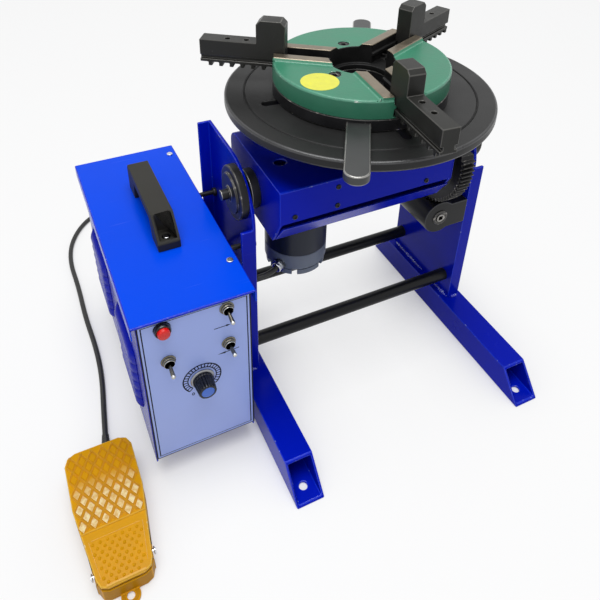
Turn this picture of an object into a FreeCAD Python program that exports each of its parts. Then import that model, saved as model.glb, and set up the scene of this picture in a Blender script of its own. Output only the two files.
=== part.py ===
"""Bench welding positioner with a three-jaw self-centring chuck, a tilt head driven by worm and
sector, a control box hung on the left side plate and a foot pedal on its own cable.

Frame: millimetres, +Z up, origin on the floor at the centre of the four foot anchor holes.
The tilt axis runs along X, the feet along Y with the operator's side towards -Y.
"""
import FreeCAD, Part
import math
import os
import re
import Sketcher

from FreeCAD import Placement, Rotation, Vector

# --------------------------------------------------------------------------------------------
# Driving sizes: alias, value in millimetres (degrees and counts where the name says so)
# --------------------------------------------------------------------------------------------
SIZES = [
    # stand
    ("plate_gap", 306), ("plate_thick", 4), ("flange_width", 18), ("plate_front", -7),
    ("plate_rear", 138), ("plate_top", 341), ("front_flange_top", 272), ("plate_corner", 68),
    ("foot_height", 40), ("foot_width", 35), ("foot_wall", 3), ("foot_inset", 10),
    ("foot_half_top", 144), ("foot_half_bottom", 180), ("anchor_half", 158), ("anchor_bore", 5),
    ("tie_radius", 9), ("tie_bore", 7), ("tie_height", 74), ("front_tie_y", 11),
    ("rear_tie_y", 121),
    # tilt axis and its bearings
    ("axis_y", 33), ("axis_z", 302), ("journal_radius", 10), ("journal_end", 170),
    ("running_gap", 0.05), ("bearing_rim_radius", 33), ("bearing_rim_thick", 10),
    ("bearing_boss_radius", 24.5), ("plate_bore", 12), ("hub_radius", 24), ("hub_gap", 3),
    ("stub_radius", 6.25), ("stub_length", 10), ("ring_radius", 9), ("ring_thick", 1.5),
    # tilt housing
    ("head_left", -139), ("head_right", 88), ("head_half_depth", 74), ("head_top", 341),
    ("skirt_bottom", 298), ("head_bottom", 262), ("head_sheet", 3), ("end_sheet", 4),
    ("chamfer_run", 21), ("end_corner", 14), ("tray_lip", 291),
    ("skirt_screw_z", 305), ("skirt_hole", 2.6), ("lift_hole", 7),
    # table drive
    ("table_x", -6), ("gear_module", 2), ("gear_teeth", 60), ("pinion_teeth", 18),
    ("gear_bottom", 300), ("gear_face", 12), ("block_flange_radius", 62),
    ("block_flange_thick", 8), ("block_neck_radius", 44), ("block_top", 376),
    ("block_bottom", 318), ("block_body_radius", 49), ("bearing_radius", 27.5),
    ("bearing_width", 12), ("bearing_inset", 2), ("block_bore", 22), ("spindle_radius", 17.5),
    ("spindle_seat", 15), ("spindle_bore", 12), ("spindle_bottom", 294),
    ("spindle_flange_radius", 50), ("shaft_radius", 6),
    # gearmotor
    ("motor_radius", 39), ("motor_split", 210), ("motor_bottom", 182), ("motor_edge", 9),
    ("vent_width", 12), ("vent_depth", 5), ("cable_radius", 3.5), ("gland_height", 193),
    ("gland_turn", 215), ("grommet_y", 3.1), ("grommet_z", 190.5), ("grommet_radius", 5),
    # worm and sector
    ("sector_left", 101), ("sector_right", 119), ("sector_teeth", 76), ("sector_hub", 28),
    ("sector_from", -12), ("sector_to", 104), ("spacer_radius", 16),
    ("worm_x", 110), ("worm_z", 207), ("worm_core", 16.4), ("worm_tip", 20.6),
    ("worm_half_length", 21), ("worm_shaft", 6), ("barrel_radius", 24), ("barrel_bore", 21.4),
    ("barrel_front", -8), ("barrel_rear", 74), ("barrel_wall", 12), ("worm_socket", 3),
    # turntable
    ("table_radius", 155), ("table_bottom", 390), ("table_top", 402), ("table_chamfer", 1.5),
    ("table_bore", 12.5), ("groove_radius", 132), ("groove_width", 1.2), ("groove_depth", 1),
    ("slot_count", 4), ("slot_width", 10), ("slot_inner", 62), ("slot_outer", 113),
    ("slot_angle", 175),
    # chuck
    ("chuck_radius", 100), ("chuck_bottom", 417), ("chuck_top", 438.4), ("rail_top", 442),
    ("rail_inner", 10.2), ("rail_outer", 21.5), ("rail_slope", 3.2), ("chuck_bore", 37.5), ("adapter_bore", 32.5),
    ("adapter_top", 412), ("hub_radius_chuck", 58), ("hub_top", 418.2), ("jaw_angle", 25),
    ("tongue_depth", 2.6), ("tongue_bottom", 428), ("tongue_top", 432), ("well_radius", 94),
    ("well_top", 423.4), ("chuck_screw_circle", 50), ("chuck_screw_radius", 4),
    ("chuck_head_radius", 6.5), ("chuck_head_depth", 7),
    # scroll ring and its two flat handles
    ("scroll_pitch", 12.5), ("ring_inner", 58.3), ("ring_bottom", 403), ("ring_top", 416.7),
    ("scroll_disc_top", 418.4), ("scroll_disc_radius", 93.6), ("ridge_inner", 62),
    ("ridge_outer", 91), ("ridge_top", 422.9), ("ridge_width", 3.6), ("ridge_step", 12),
    ("handle_bar_width", 25), ("handle_bar_thick", 10), ("handle_bar_inner", 63),
    ("handle_bar_outer", 197.5), ("handle_bar_angle", 59),
    # jaws
    ("jaw_half_width", 9.5), ("jaw_inner", 86), ("jaw_block_end", 119), ("jaw_end", 185),
    ("jaw_arm_top", 451), ("jaw_block_top", 478), ("jaw_foot", 424), ("jaw_tooth_bottom", 419.4),
    ("jaw_rack_inner", 66), ("jaw_rack_top", 427),
    ("jaw_tooth", 4.6), ("jaw_hole", 3), ("jaw_round", 5),
    ("jaw_groove", 3.2), ("jaw_hole_near", 132), ("jaw_hole_far", 154),
    # control box
    ("box_left", -309.5), ("box_right", -187.5), ("box_front", -74), ("box_rear", 234),
    ("box_bottom", 35), ("box_skirt_bottom", 28), ("box_top", 252), ("box_sheet", 2),
    ("lid_over", 5.5), ("lid_thick", 3), ("lid_front", -78), ("lid_rear", 238),
    ("lid_skirt", 14), ("lid_skirt_thick", 1.5), ("panel_thick", 2),
    ("hang_z", 243), ("hang_low_z", 90), ("hang_front_y", 8), ("hang_rear_y", 122),
    ("hang_bolt", 3), ("hang_hole", 3.3), ("hang_head", 5.5), ("hang_head_thick", 4),
    ("spacer_tube", 6), ("box_gland_y", 112), ("box_gland_z", 170), ("rear_gland_x", -210),
    ("rear_gland_z", 56), ("inlet_x", -270), ("gland_bore", 5),
    ("vent_front_y", -36), ("vent_rear_y", 116), ("vent_length", 86), ("vent_slot", 4),
    ("vent_low_z", 88), ("vent_step", 14.5), ("vent_rows", 6),
    # control box fittings
    ("handle_x", -246), ("handle_width", 26), ("handle_front", 20), ("handle_rear", 160),
    ("handle_rise", 36), ("handle_grip", 12), ("handle_foot", 28),
    ("button_x", -283.5), ("button_z", 241), ("button_radius", 7.4), ("bezel_radius", 10),
    ("toggle_right_x", -215), ("toggle_left_x", -281.5), ("toggle_top_z", 241.5),
    ("toggle_low_z", 189.5), ("toggle_left_z", 192.5), ("toggle_nut", 6.5), ("toggle_rest", -13),
    ("knob_x", -247.5), ("knob_z", 147.5), ("knob_radius", 11), ("knob_length", 18.2),
    # foot pedal
    ("pedal_x", -369.3), ("pedal_far", -30), ("pedal_near", -183), ("pedal_fold", -129),
    ("pedal_half_far", 38), ("pedal_half_near", 28.5), ("pedal_far_z", 38), ("pedal_fold_z", 40),
    ("pedal_waist", -98),
    ("pedal_near_z", 27), ("pedal_thick", 4), ("pedal_base_height", 20), ("pedal_wall", 3),
    ("pedal_pin_y", -164), ("pedal_pin_z", 20.5), ("pedal_pin_radius", 2.5),
    ("pedal_exit_z", 12), ("pedal_exit_x", -361), ("coil_x", -240), ("coil_y", 350), ("coil_radius", 40),
    ("coil_turns", 3), ("coil_rise", 7.6),
    ("ear_y", -187.2), ("ear_radius", 10), ("ear_bore", 4),
]

doc = FreeCAD.newDocument("welding_positioner")
sheet = doc.addObject("Spreadsheet::Sheet", "Sizes")
for row, (alias, value) in enumerate(SIZES, start=1):
    sheet.set(f"A{row}", alias)
    sheet.set(f"B{row}", str(value))
    sheet.setAlias(f"B{row}", alias)
doc.recompute()

ALIASES = {alias for alias, _ in SIZES}
NODES = []


def size(alias):
    """The number that the sheet holds under an alias."""
    return float(sheet.get(alias))


# --------------------------------------------------------------------------------------------
# Helpers: expressions are written with the sheet's aliases, such as "plate_gap / 2"
# --------------------------------------------------------------------------------------------
def linked(expression):
    return re.sub(r"[a-z_]+", lambda m: f"Sizes.{m[0]}" if m[0] in ALIASES else m[0], str(expression))


def bind(thing, **properties):
    for name, expression in properties.items():
        thing.setExpression(name, linked(expression))
    return thing


def place(thing, x=0, y=0, z=0, axis=None, degrees=0):
    thing.Placement = Placement(Vector(), Rotation(axis or Vector(0, 0, 1), degrees))
    for letter, expression in (("x", x), ("y", y), ("z", z)):
        thing.setExpression(f"Placement.Base.{letter}", linked(expression))
    return thing


TURN = {"x": (Vector(0, 1, 0), 90), "y": (Vector(1, 0, 0), -90), "z": (Vector(0, 0, 1), 0)}


def box(dx, dy, dz, x, y, z):
    return place(bind(doc.addObject("Part::Box"), Length=dx, Width=dy, Height=dz), x, y, z)


def rod(radius, length, x, y, z, along="z"):
    axis, degrees = TURN[along]
    part = bind(doc.addObject("Part::Cylinder"), Radius=radius, Height=length)
    return place(part, x, y, z, axis, degrees)


def taper(radius_1, radius_2, length, x, y, z, along="z"):
    axis, degrees = TURN[along]
    part = bind(doc.addObject("Part::Cone"), Radius1=radius_1, Radius2=radius_2, Height=length)
    return place(part, x, y, z, axis, degrees)


def fuse(*parts):
    joined = doc.addObject("Part::MultiFuse")
    joined.Shapes = list(parts)
    joined.Refine = True
    return joined


def cut(base, *tools):
    part = doc.addObject("Part::Cut")
    part.Base = base
    part.Tool = tools[0] if len(tools) == 1 else fuse(*tools)
    part.Refine = True
    return part


def common(*parts):
    part = doc.addObject("Part::MultiCommon")
    part.Shapes = list(parts)
    return part


def group(*parts):
    together = doc.addObject("Part::Compound")
    together.Links = list(parts)
    return together


def solid(shape):
    part = doc.addObject("Part::Feature")
    part.Shape = shape
    return part


def node(label, part):
    part.Label = label
    NODES.append(part)
    return part


def body(label):
    return doc.addObject("PartDesign::Body", label)


def plane(owner, role):
    return next(item for item in owner.Origin.OriginFeatures if item.Role == role)


def outline(owner, role, corners):
    """A closed sketch on one of the body's origin planes, its corners bound to expressions."""
    sketch = owner.newObject("Sketcher::SketchObject", "Outline")
    sketch.AttachmentSupport = [(plane(owner, role), "")]
    sketch.MapMode = "FlatFace"
    sketch.recompute()
    start = [Vector(i * i + 1, (7 * i) % 5 + 1, 0) for i in range(len(corners) + 1)]
    count = len(corners)
    for i in range(count):
        sketch.addGeometry(Part.LineSegment(start[i], start[(i + 1) % count]), False)
    for i in range(count):
        sketch.addConstraint(Sketcher.Constraint("Coincident", i, 2, (i + 1) % count, 1))
    for i, (x, y) in enumerate(corners):
        for kind, expression in (("DistanceX", x), ("DistanceY", y)):
            index = sketch.addConstraint(Sketcher.Constraint(kind, -1, 1, i, 1, 1.0))
            sketch.setExpression(f"Constraints[{index}]", linked(expression))
    return sketch


def pad(owner, role, corners, length):
    feature = owner.newObject("PartDesign::Pad", "Pad")
    feature.Profile = outline(owner, role, corners)
    bind(feature, Length=length)
    return feature


def padded(label, role, corners, length):
    owner = body(label)
    pad(owner, role, corners, length)
    return owner


def revolved(label, corners):
    """A body turned from a half section: each corner is a radius and a height."""
    owner = body(label)
    profile = outline(owner, "XZ_Plane", corners)
    feature = owner.newObject("PartDesign::Revolution", "Revolution")
    feature.Profile = profile
    feature.ReferenceAxis = (profile, ["V_Axis"])
    feature.Angle = 360
    return owner


# --------------------------------------------------------------------------------------------
# Stand: two box-tube feet cut slanting at both ends, two folded side plates, two tie tubes
# --------------------------------------------------------------------------------------------
SIDES = (("left", -1), ("right", 1))


def foot(label, side):
    centre = f"{side} * (plate_gap / 2 - foot_inset + foot_width / 2)"
    inner = f"{centre} - foot_width / 2"
    tube = padded(f"{label}_profile", "YZ_Plane", [
        ("-foot_half_bottom", "0"), ("foot_half_bottom", "0"),
        ("foot_half_top", "foot_height"), ("-foot_half_top", "foot_height")], "foot_width")
    place(tube, inner)
    hollow = box("foot_width - 2 * foot_wall", "2 * foot_half_bottom",
                 "foot_height - 2 * foot_wall",
                 f"{inner} + foot_wall", "-foot_half_bottom", "foot_wall")
    anchors = [rod("anchor_bore", "foot_wall", centre, f"{end} * anchor_half", 0)
               for end in (-1, 1)]
    return node(label, cut(tube, hollow, *anchors))


def side_plate(label, side):
    """Sheet folded outwards along its rear edge and the lower part of its front edge."""
    inner, outer = "plate_gap / 2", "plate_gap / 2 + flange_width"
    if side < 0:
        inner, outer = f"-({inner})", f"-({outer})"
    web, lip = f"{inner} + {side} * plate_thick", "plate_thick"
    sheet_metal = padded(f"{label}_profile", "XY_Plane", [
        (inner, "plate_front"), (outer, "plate_front"), (outer, f"plate_front + {lip}"),
        (web, f"plate_front + {lip}"), (web, f"plate_rear - {lip}"), (outer, f"plate_rear - {lip}"),
        (outer, "plate_rear"), (inner, "plate_rear")], "plate_top - foot_height")
    place(sheet_metal, 0, 0, "foot_height")
    low_x = f"{inner} - flange_width" if side < 0 else inner
    corner = cut(
        box("flange_width", "plate_corner", "plate_corner + 1", low_x, "plate_front",
            "plate_top - plate_corner"),
        rod("plate_corner", "flange_width", low_x, "plate_front + plate_corner",
            "plate_top - plate_corner", "x"))
    step = box("flange_width", "plate_thick", "plate_corner + 2",
               f"{web} - flange_width" if side < 0 else web, "plate_front", "front_flange_top")
    bore = rod("plate_bore", "plate_thick", f"{inner} - plate_thick" if side < 0 else inner,
               "axis_y", "axis_z", "x")
    tools = [corner, step, bore]
    if side < 0:
        for y in ("hang_front_y", "hang_rear_y"):
            for z in ("hang_z", "hang_low_z"):
                tools.append(rod("hang_hole", "plate_thick", web, y, z, "x"))
        tools.append(rod("grommet_radius", "plate_thick", web, "grommet_y", "grommet_z", "x"))
    return node(label, cut(sheet_metal, *tools))


def tie_tube(label, y):
    outer = rod("tie_radius", "plate_gap", "-plate_gap / 2", y, "tie_height", "x")
    inner = rod("tie_bore", "plate_gap", "-plate_gap / 2", y, "tie_height", "x")
    return node(label, cut(outer, inner))


for name, sign in SIDES:
    foot(f"{name}_foot", sign)
    side_plate(f"{name}_side_plate", sign)
tie_tube("front_tie_tube", "front_tie_y")
tie_tube("rear_tie_tube", "rear_tie_y")


# --------------------------------------------------------------------------------------------
# Tilt bearings: a stepped flange welded outside each plate, a trunnion running in it
# --------------------------------------------------------------------------------------------
def bearing_flange(label, side):
    flange = revolved(label, [
        ("journal_radius + running_gap", "0"), ("bearing_rim_radius", "0"),
        ("bearing_rim_radius", "bearing_rim_thick - 1"),
        ("bearing_rim_radius - 1", "bearing_rim_thick"),
        ("bearing_boss_radius", "bearing_rim_thick"),
        ("bearing_boss_radius", "journal_end - plate_gap / 2 - plate_thick - 0.3"),
        ("journal_radius + running_gap", "journal_end - plate_gap / 2 - plate_thick - 0.3")])
    place(flange, f"{side} * (plate_gap / 2 + plate_thick)", "axis_y", "axis_z",
          Vector(0, 1, 0), 90 * side)
    return node(label, flange)


for name, sign in SIDES:
    bearing_flange(f"{name}_bearing_flange", sign)

node("left_trunnion", fuse(
    rod("hub_radius", "plate_gap / 2 - hub_gap + head_left", "hub_gap - plate_gap / 2",
        "axis_y", "axis_z", "x"),
    rod("journal_radius", "journal_end - plate_gap / 2 + hub_gap", "-journal_end",
        "axis_y", "axis_z", "x"),
    rod("stub_radius", "stub_length", "-journal_end - stub_length", "axis_y", "axis_z", "x")))


def trunnion_ring(x):
    return cut(rod("ring_radius", "ring_thick", x, "axis_y", "axis_z", "x"),
               rod("stub_radius", "ring_thick", x, "axis_y", "axis_z", "x"))


node("trunnion_rings", group(trunnion_ring("-journal_end - ring_thick"),
                             trunnion_ring("journal_end")))


# --------------------------------------------------------------------------------------------
# Tilt head: folded housing between two end plates, inclined-sided tray closing it below
# --------------------------------------------------------------------------------------------
HEAD_FRONT, HEAD_REAR = "axis_y - head_half_depth", "axis_y + head_half_depth"


def end_plate(label, x):
    plate = padded(label, "YZ_Plane", [
        (HEAD_FRONT, "head_top"), (HEAD_FRONT, "skirt_bottom"),
        (f"{HEAD_FRONT} + chamfer_run", "head_bottom"),
        (f"{HEAD_REAR} - chamfer_run", "head_bottom"), (HEAD_REAR, "skirt_bottom"),
        (HEAD_REAR, "head_top - end_corner"),
        (f"{HEAD_REAR} - 0.134 * end_corner", "head_top - 0.5 * end_corner"),
        (f"{HEAD_REAR} - 0.5 * end_corner", "head_top - 0.134 * end_corner"),
        (f"{HEAD_REAR} - end_corner", "head_top")],
        "end_sheet")
    return place(plate, x)


HEAD_LENGTH = "head_right - head_left"
skirt_height = "head_top - skirt_bottom"
screw_places = [("-121", "skirt_screw_z"), ("-69", "skirt_screw_z"), ("50", "skirt_screw_z"),
                ("-69", "skirt_screw_z + 25")]
head_holes = [rod("skirt_hole", "head_sheet", x, HEAD_FRONT, z, "y") for x, z in screw_places]
head_holes += [
    rod("block_body_radius + 1", "head_sheet", "table_x", "axis_y", "head_top - head_sheet"),
    rod("lift_hole", "head_sheet", "-114", "15", "head_top - head_sheet")]
node("tilt_housing", cut(
    fuse(box(HEAD_LENGTH, "2 * head_half_depth - end_corner", "head_sheet", "head_left",
             HEAD_FRONT, "head_top - head_sheet"),
         box(HEAD_LENGTH, "head_sheet", skirt_height, "head_left", HEAD_FRONT, "skirt_bottom"),
         box(HEAD_LENGTH, "head_sheet", f"{skirt_height} - end_corner", "head_left",
             f"{HEAD_REAR} - head_sheet", "skirt_bottom"),
         cut(rod("end_corner", HEAD_LENGTH, "head_left", f"{HEAD_REAR} - end_corner",
                 "head_top - end_corner", "x"),
             rod("end_corner - head_sheet", HEAD_LENGTH, "head_left",
                 f"{HEAD_REAR} - end_corner", "head_top - end_corner", "x"),
             box(HEAD_LENGTH, "end_corner", "2 * end_corner", "head_left",
                 f"{HEAD_REAR} - 2 * end_corner", "head_top - 2 * end_corner"),
             box(HEAD_LENGTH, "2 * end_corner", "end_corner", "head_left",
                 f"{HEAD_REAR} - 2 * end_corner", "head_top - 2 * end_corner")),
         end_plate("left_end_plate", "head_left"),
         end_plate("right_end_plate", "head_right - end_sheet")),
    *head_holes))

tray = padded("tray_profile", "YZ_Plane", [
    (HEAD_FRONT, "tray_lip"), (f"{HEAD_FRONT} + chamfer_run", "head_bottom"),
    (f"{HEAD_REAR} - chamfer_run", "head_bottom"), (HEAD_REAR, "tray_lip"),
    (f"{HEAD_REAR} - head_sheet", "tray_lip"),
    (f"{HEAD_REAR} - chamfer_run - head_sheet", "head_bottom + head_sheet"),
    (f"{HEAD_FRONT} + chamfer_run + head_sheet", "head_bottom + head_sheet"),
    (f"{HEAD_FRONT} + head_sheet", "tray_lip")], f"{HEAD_LENGTH} - 2 * end_sheet")
place(tray, "head_left + end_sheet")
MOTOR_X = "table_x - gear_module * (gear_teeth + pinion_teeth) / 2"
node("housing_tray", cut(tray, rod("shaft_radius + 5", "head_sheet", MOTOR_X, "axis_y",
                                   "head_bottom")))

node("spindle_block", place(revolved("spindle_block_profile", [
    ("bearing_radius", "block_bottom"), ("block_body_radius", "block_bottom"),
    ("block_body_radius", "head_top"), ("block_flange_radius", "head_top"),
    ("block_flange_radius", "head_top + block_flange_thick"),
    ("block_neck_radius", "head_top + block_flange_thick"), ("block_neck_radius", "block_top"),
    ("bearing_radius", "block_top"),
    ("bearing_radius", "block_top - bearing_inset - bearing_width"),
    ("block_bore", "block_top - bearing_inset - bearing_width"),
    ("block_bore", "block_bottom + bearing_inset + bearing_width"),
    ("bearing_radius", "block_bottom + bearing_inset + bearing_width")]), "table_x", "axis_y"))


def spindle_bearing(z):
    return cut(rod("bearing_radius", "bearing_width", "table_x", "axis_y", z),
               rod("spindle_radius + running_gap", "bearing_width", "table_x", "axis_y", z))


node("spindle_bearings", group(spindle_bearing("block_bottom + bearing_inset"),
                               spindle_bearing("block_top - bearing_inset - bearing_width")))

node("housing_screws", group(*[
    fuse(rod("skirt_hole - 0.2", "head_sheet + 3", x, HEAD_FRONT, z, "y"),
         rod("skirt_hole + 1.9", "2", x, f"{HEAD_FRONT} - 2", z, "y")) for x, z in screw_places]))


# --------------------------------------------------------------------------------------------
# Table drive: spur gear on the hollow spindle, pinion on the gearmotor's shaft
# --------------------------------------------------------------------------------------------
def toothed(teeth, module, tip_share, root_share, pitch_share, first, last, base_radius):
    """The boundary of a run of straight-flanked teeth, as polar (radius, angle) corners."""
    pitch = module * teeth / 2
    corners = []
    for index in range(first, last + 1):
        centre = 2 * math.pi * index / teeth
        for radius, share in ((base_radius, -root_share), (pitch, -pitch_share),
                              (pitch + module, -tip_share), (pitch + module, tip_share),
                              (pitch, pitch_share), (base_radius, root_share)):
            corners.append((radius, centre + share * module / radius))
    return corners


def polygon_solid(points, height):
    wire = Part.makePolygon(points + points[:1])
    return Part.Face(wire).extrude(height)


TIP_SHARE, PITCH_SHARE, ROOT_SHARE = 0.28, 0.66, 1.10


def spur_gear(teeth, thickness, z, phase):
    module = size("gear_module")
    root = module * teeth / 2 - 1.25 * module
    corners = toothed(teeth, module, TIP_SHARE, ROOT_SHARE, PITCH_SHARE, 0, teeth - 1, root)
    points = [Vector(r * math.cos(a + phase), r * math.sin(a + phase), z) for r, a in corners]
    return polygon_solid(points, Vector(0, 0, thickness))


gear_teeth, pinion_teeth = int(size("gear_teeth")), int(size("pinion_teeth"))
gear_face, gear_bottom = size("gear_face"), size("gear_bottom")
wheel = spur_gear(gear_teeth, gear_face, gear_bottom, math.pi)
wheel = wheel.cut(Part.makeCylinder(size("spindle_seat"), gear_face, Vector(0, 0, gear_bottom)))
node("spindle_gear", place(solid(wheel), "table_x", "axis_y"))
pinion = spur_gear(pinion_teeth, gear_face, gear_bottom, math.pi / pinion_teeth)
shaft_bottom = size("head_bottom") - 12
pinion = pinion.fuse(Part.makeCylinder(size("shaft_radius"), gear_bottom + gear_face - shaft_bottom,
                                       Vector(0, 0, shaft_bottom))).removeSplitter()
node("drive_pinion", place(solid(pinion), MOTOR_X, "axis_y"))

node("table_spindle", place(revolved("spindle_profile", [
    ("spindle_bore", "spindle_bottom"), ("spindle_seat", "spindle_bottom"),
    ("spindle_seat", "gear_bottom + gear_face"), ("spindle_radius", "gear_bottom + gear_face"),
    ("spindle_radius", "block_top + 2"), ("spindle_flange_radius", "block_top + 2"),
    ("spindle_flange_radius", "table_bottom"), ("spindle_bore", "table_bottom")]),
    "table_x", "axis_y"))

node("gearmotor", cut(
    rod("motor_radius", "head_bottom - motor_split", MOTOR_X, "axis_y", "motor_split"),
    rod("shaft_radius + running_gap", "14", MOTOR_X, "axis_y", "head_bottom - 14")))
cap = place(revolved("cap_profile", [
    ("0", "motor_bottom"), ("motor_radius - motor_edge", "motor_bottom"),
    ("motor_radius - 2", "motor_bottom + motor_edge - 4"),
    ("motor_radius", "motor_bottom + motor_edge"),
    ("motor_radius", "motor_split"), ("0", "motor_split")]), MOTOR_X, "axis_y")
vents = [place(box("2 * motor_radius", "vent_width", "vent_depth", 0, 0, 0),
               f"{MOTOR_X} - ({x})", f"axis_y - ({y})", "motor_bottom", Vector(0, 0, 1), degrees)
         for x, y, degrees in (("motor_radius", "vent_width / 2", 0),
                               ("-vent_width / 2", "motor_radius", 90))]
gland_turn = math.radians(size("gland_turn"))
gland_axis = Vector(math.cos(gland_turn), math.sin(gland_turn), 0)
motor_centre = Vector(size("table_x") - size("gear_module") * (gear_teeth + pinion_teeth) / 2,
                      size("axis_y"), size("gland_height"))


def along_gland(radius, start, end):
    return Part.makeCylinder(radius, end - start, motor_centre + gland_axis * start, gland_axis)


cable_radius, motor_radius = size("cable_radius"), size("motor_radius")
flat_start = motor_radius - 1
cap_cut = cut(cap, *vents, solid(along_gland(8.5, flat_start, motor_radius + 2)),
              solid(along_gland(5.05, flat_start - 10, flat_start)))
node("motor_end_cap", cap_cut)
gland = along_gland(5, flat_start - 8, flat_start).fuse(along_gland(8, flat_start, flat_start + 6))
gland = gland.fuse(along_gland(6.4, flat_start + 6, flat_start + 10)).removeSplitter()
gland = gland.cut(along_gland(cable_radius + 0.1, flat_start + 2, flat_start + 10))
node("motor_gland", solid(gland))


# --------------------------------------------------------------------------------------------
# Tilt drive: toothed sector on the head, worm in a housing on the right plate
# --------------------------------------------------------------------------------------------
def sector_point(radius, angle):
    """Angle zero points down and grows towards the operator."""
    return Vector(0, -radius * math.sin(angle), -radius * math.cos(angle))


sector_teeth, module = int(size("sector_teeth")), size("gear_module")
pitch_angle = 2 * math.pi / sector_teeth
first_tooth = math.ceil(math.radians(size("sector_from")) / pitch_angle)
last_tooth = math.floor(math.radians(size("sector_to")) / pitch_angle)
sector_root = module * sector_teeth / 2 - 1.25 * module
teeth = toothed(sector_teeth, module, TIP_SHARE, ROOT_SHARE, PITCH_SHARE,
                first_tooth, last_tooth, sector_root)
rim_from, rim_to = teeth[0][1] - pitch_angle, teeth[-1][1] + pitch_angle
hub_reach = size("sector_hub") * 0.9
fan = [sector_point(hub_reach, rim_from - 1.1), sector_point(sector_root, rim_from)]
fan += [sector_point(r, a) for r, a in teeth]
fan += [sector_point(sector_root, rim_to), sector_point(hub_reach, rim_to + 1.1)]
sector_left, sector_width = size("sector_left"), size("sector_right") - size("sector_left")
blank = polygon_solid(fan, Vector(sector_width, 0, 0))
x_axis = Vector(1, 0, 0)
dish_radius, web_left, web = sector_root - 11.5, 5, 8
dish = Part.makeCylinder(dish_radius, web_left, Vector(0, 0, 0), x_axis)
dish = dish.cut(Part.makeCylinder(size("sector_hub"), web_left, Vector(0, 0, 0), x_axis))
far_dish = dish.translated(Vector(web_left + web, 0, 0))
blank = blank.cut(dish).cut(far_dish)
hub_left = size("head_right") - sector_left
blank = blank.fuse(Part.makeCylinder(size("sector_hub"), sector_width - hub_left,
                                     Vector(hub_left, 0, 0), x_axis))
plate_inside = size("plate_gap") / 2 - sector_left
blank = blank.fuse(Part.makeCylinder(size("spacer_radius"), plate_inside - size("hub_gap"),
                                     Vector(0, 0, 0), x_axis))
blank = blank.fuse(Part.makeCylinder(size("journal_radius"), size("journal_end") - sector_left,
                                     Vector(0, 0, 0), x_axis))
blank = blank.fuse(Part.makeCylinder(size("stub_radius"),
                                     size("journal_end") + size("stub_length") - sector_left,
                                     Vector(0, 0, 0), x_axis))
node("tilt_sector", place(solid(blank.removeSplitter()), "sector_left", "axis_y", "axis_z"))

lead = math.pi * module
turns = int(2 * size("worm_half_length") / lead)
worm_root, worm_tip = size("worm_core"), size("worm_tip")
worm_pitch = size("axis_z") - size("worm_z") - module * sector_teeth / 2
start = -turns * lead / 2 + lead / 4
flank = ((worm_root - 0.4, 1.75), (worm_pitch, 1.15), (worm_tip, 0.65))
section = [Vector(r, 0, start - half) for r, half in flank]
section += [Vector(r, 0, start + half) for r, half in reversed(flank)]
helix = Part.makeHelix(lead, turns * lead, worm_root)
helix.translate(Vector(0, 0, start))
thread = Part.Wire(helix).makePipeShell([Part.makePolygon(section + section[:1])], True, True)
half_core = size("worm_half_length") + 2
worm = Part.makeCylinder(worm_root, 2 * half_core, Vector(0, 0, -half_core)).fuse(thread)
half_shaft_front = size("axis_y") - size("barrel_front") + 2
half_shaft_rear = size("barrel_rear") - size("axis_y")
worm = worm.fuse(Part.makeCylinder(size("worm_shaft"), half_shaft_front + half_shaft_rear,
                                   Vector(0, 0, -half_shaft_rear)))
socket = Part.makeBox(2 * size("worm_socket"), 2 * size("worm_socket"), 12,
                      Vector(-size("worm_socket"), -size("worm_socket"), half_shaft_front - 12))
node("worm_shaft", place(solid(worm.cut(socket)), "worm_x", "axis_y", "worm_z",
                         Vector(1, 0, 0), 90))

barrel_length = "barrel_rear - barrel_front"
housing_right = "plate_gap / 2 - worm_x"
worm_block = cut(
    fuse(rod("barrel_radius", barrel_length, "worm_x", "barrel_front", "worm_z", "y"),
         box(housing_right, barrel_length, "37", "worm_x", "barrel_front", "worm_z - 20")),
    rod("barrel_bore", f"{barrel_length} - 2 * barrel_wall", "worm_x",
        "barrel_front + barrel_wall", "worm_z", "y"),
    rod("gear_module * (sector_teeth / 2 + 1) + 1.2", "sector_right - sector_left + 4",
        "sector_left - 2", "axis_y", "axis_z", "x"),
    rod("worm_shaft + running_gap", barrel_length, "worm_x", "barrel_front", "worm_z", "y"))
node("worm_housing", worm_block)


# --------------------------------------------------------------------------------------------
# Turntable: thick disc with a chamfered rim, a ring groove and four radial slots
# --------------------------------------------------------------------------------------------
table = place(revolved("turntable_profile", [
    ("table_bore", "table_bottom"), ("table_radius - table_chamfer", "table_bottom"),
    ("table_radius", "table_bottom + table_chamfer"),
    ("table_radius", "table_top - table_chamfer"), ("table_radius - table_chamfer", "table_top"),
    ("groove_radius + groove_width", "table_top"),
    ("groove_radius + groove_width", "table_top - groove_depth"),
    ("groove_radius", "table_top - groove_depth"), ("groove_radius", "table_top"),
    ("table_bore", "table_top")]), "table_x", "axis_y")


def table_slot(index):
    angle = size("slot_angle") + index * 360 / size("slot_count")
    slot = fuse(box("slot_outer - slot_inner", "slot_width", "table_top - table_bottom",
                    "slot_inner", "-slot_width / 2", "table_bottom"),
                *[rod("slot_width / 2", "table_top - table_bottom", x, 0, "table_bottom")
                  for x in ("slot_inner", "slot_outer")])
    return place(slot, "table_x", "axis_y", 0, Vector(0, 0, 1), angle)


def on_table(part, angle=0):
    return place(part, "table_x", "axis_y", 0, Vector(0, 0, 1), angle)


def screw_tool(radius, bottom, top, index):
    angle = f"(jaw_angle + 60 + {120 * index})"
    return rod(radius, f"{top} - ({bottom})", f"table_x + chuck_screw_circle * cos({angle})",
               f"axis_y + chuck_screw_circle * sin({angle})", bottom)


node("turntable", cut(table, *[table_slot(i) for i in range(int(size("slot_count")))],
                      *[screw_tool("chuck_screw_radius", "table_bottom", "table_top", index)
                        for index in range(3)]))


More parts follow.
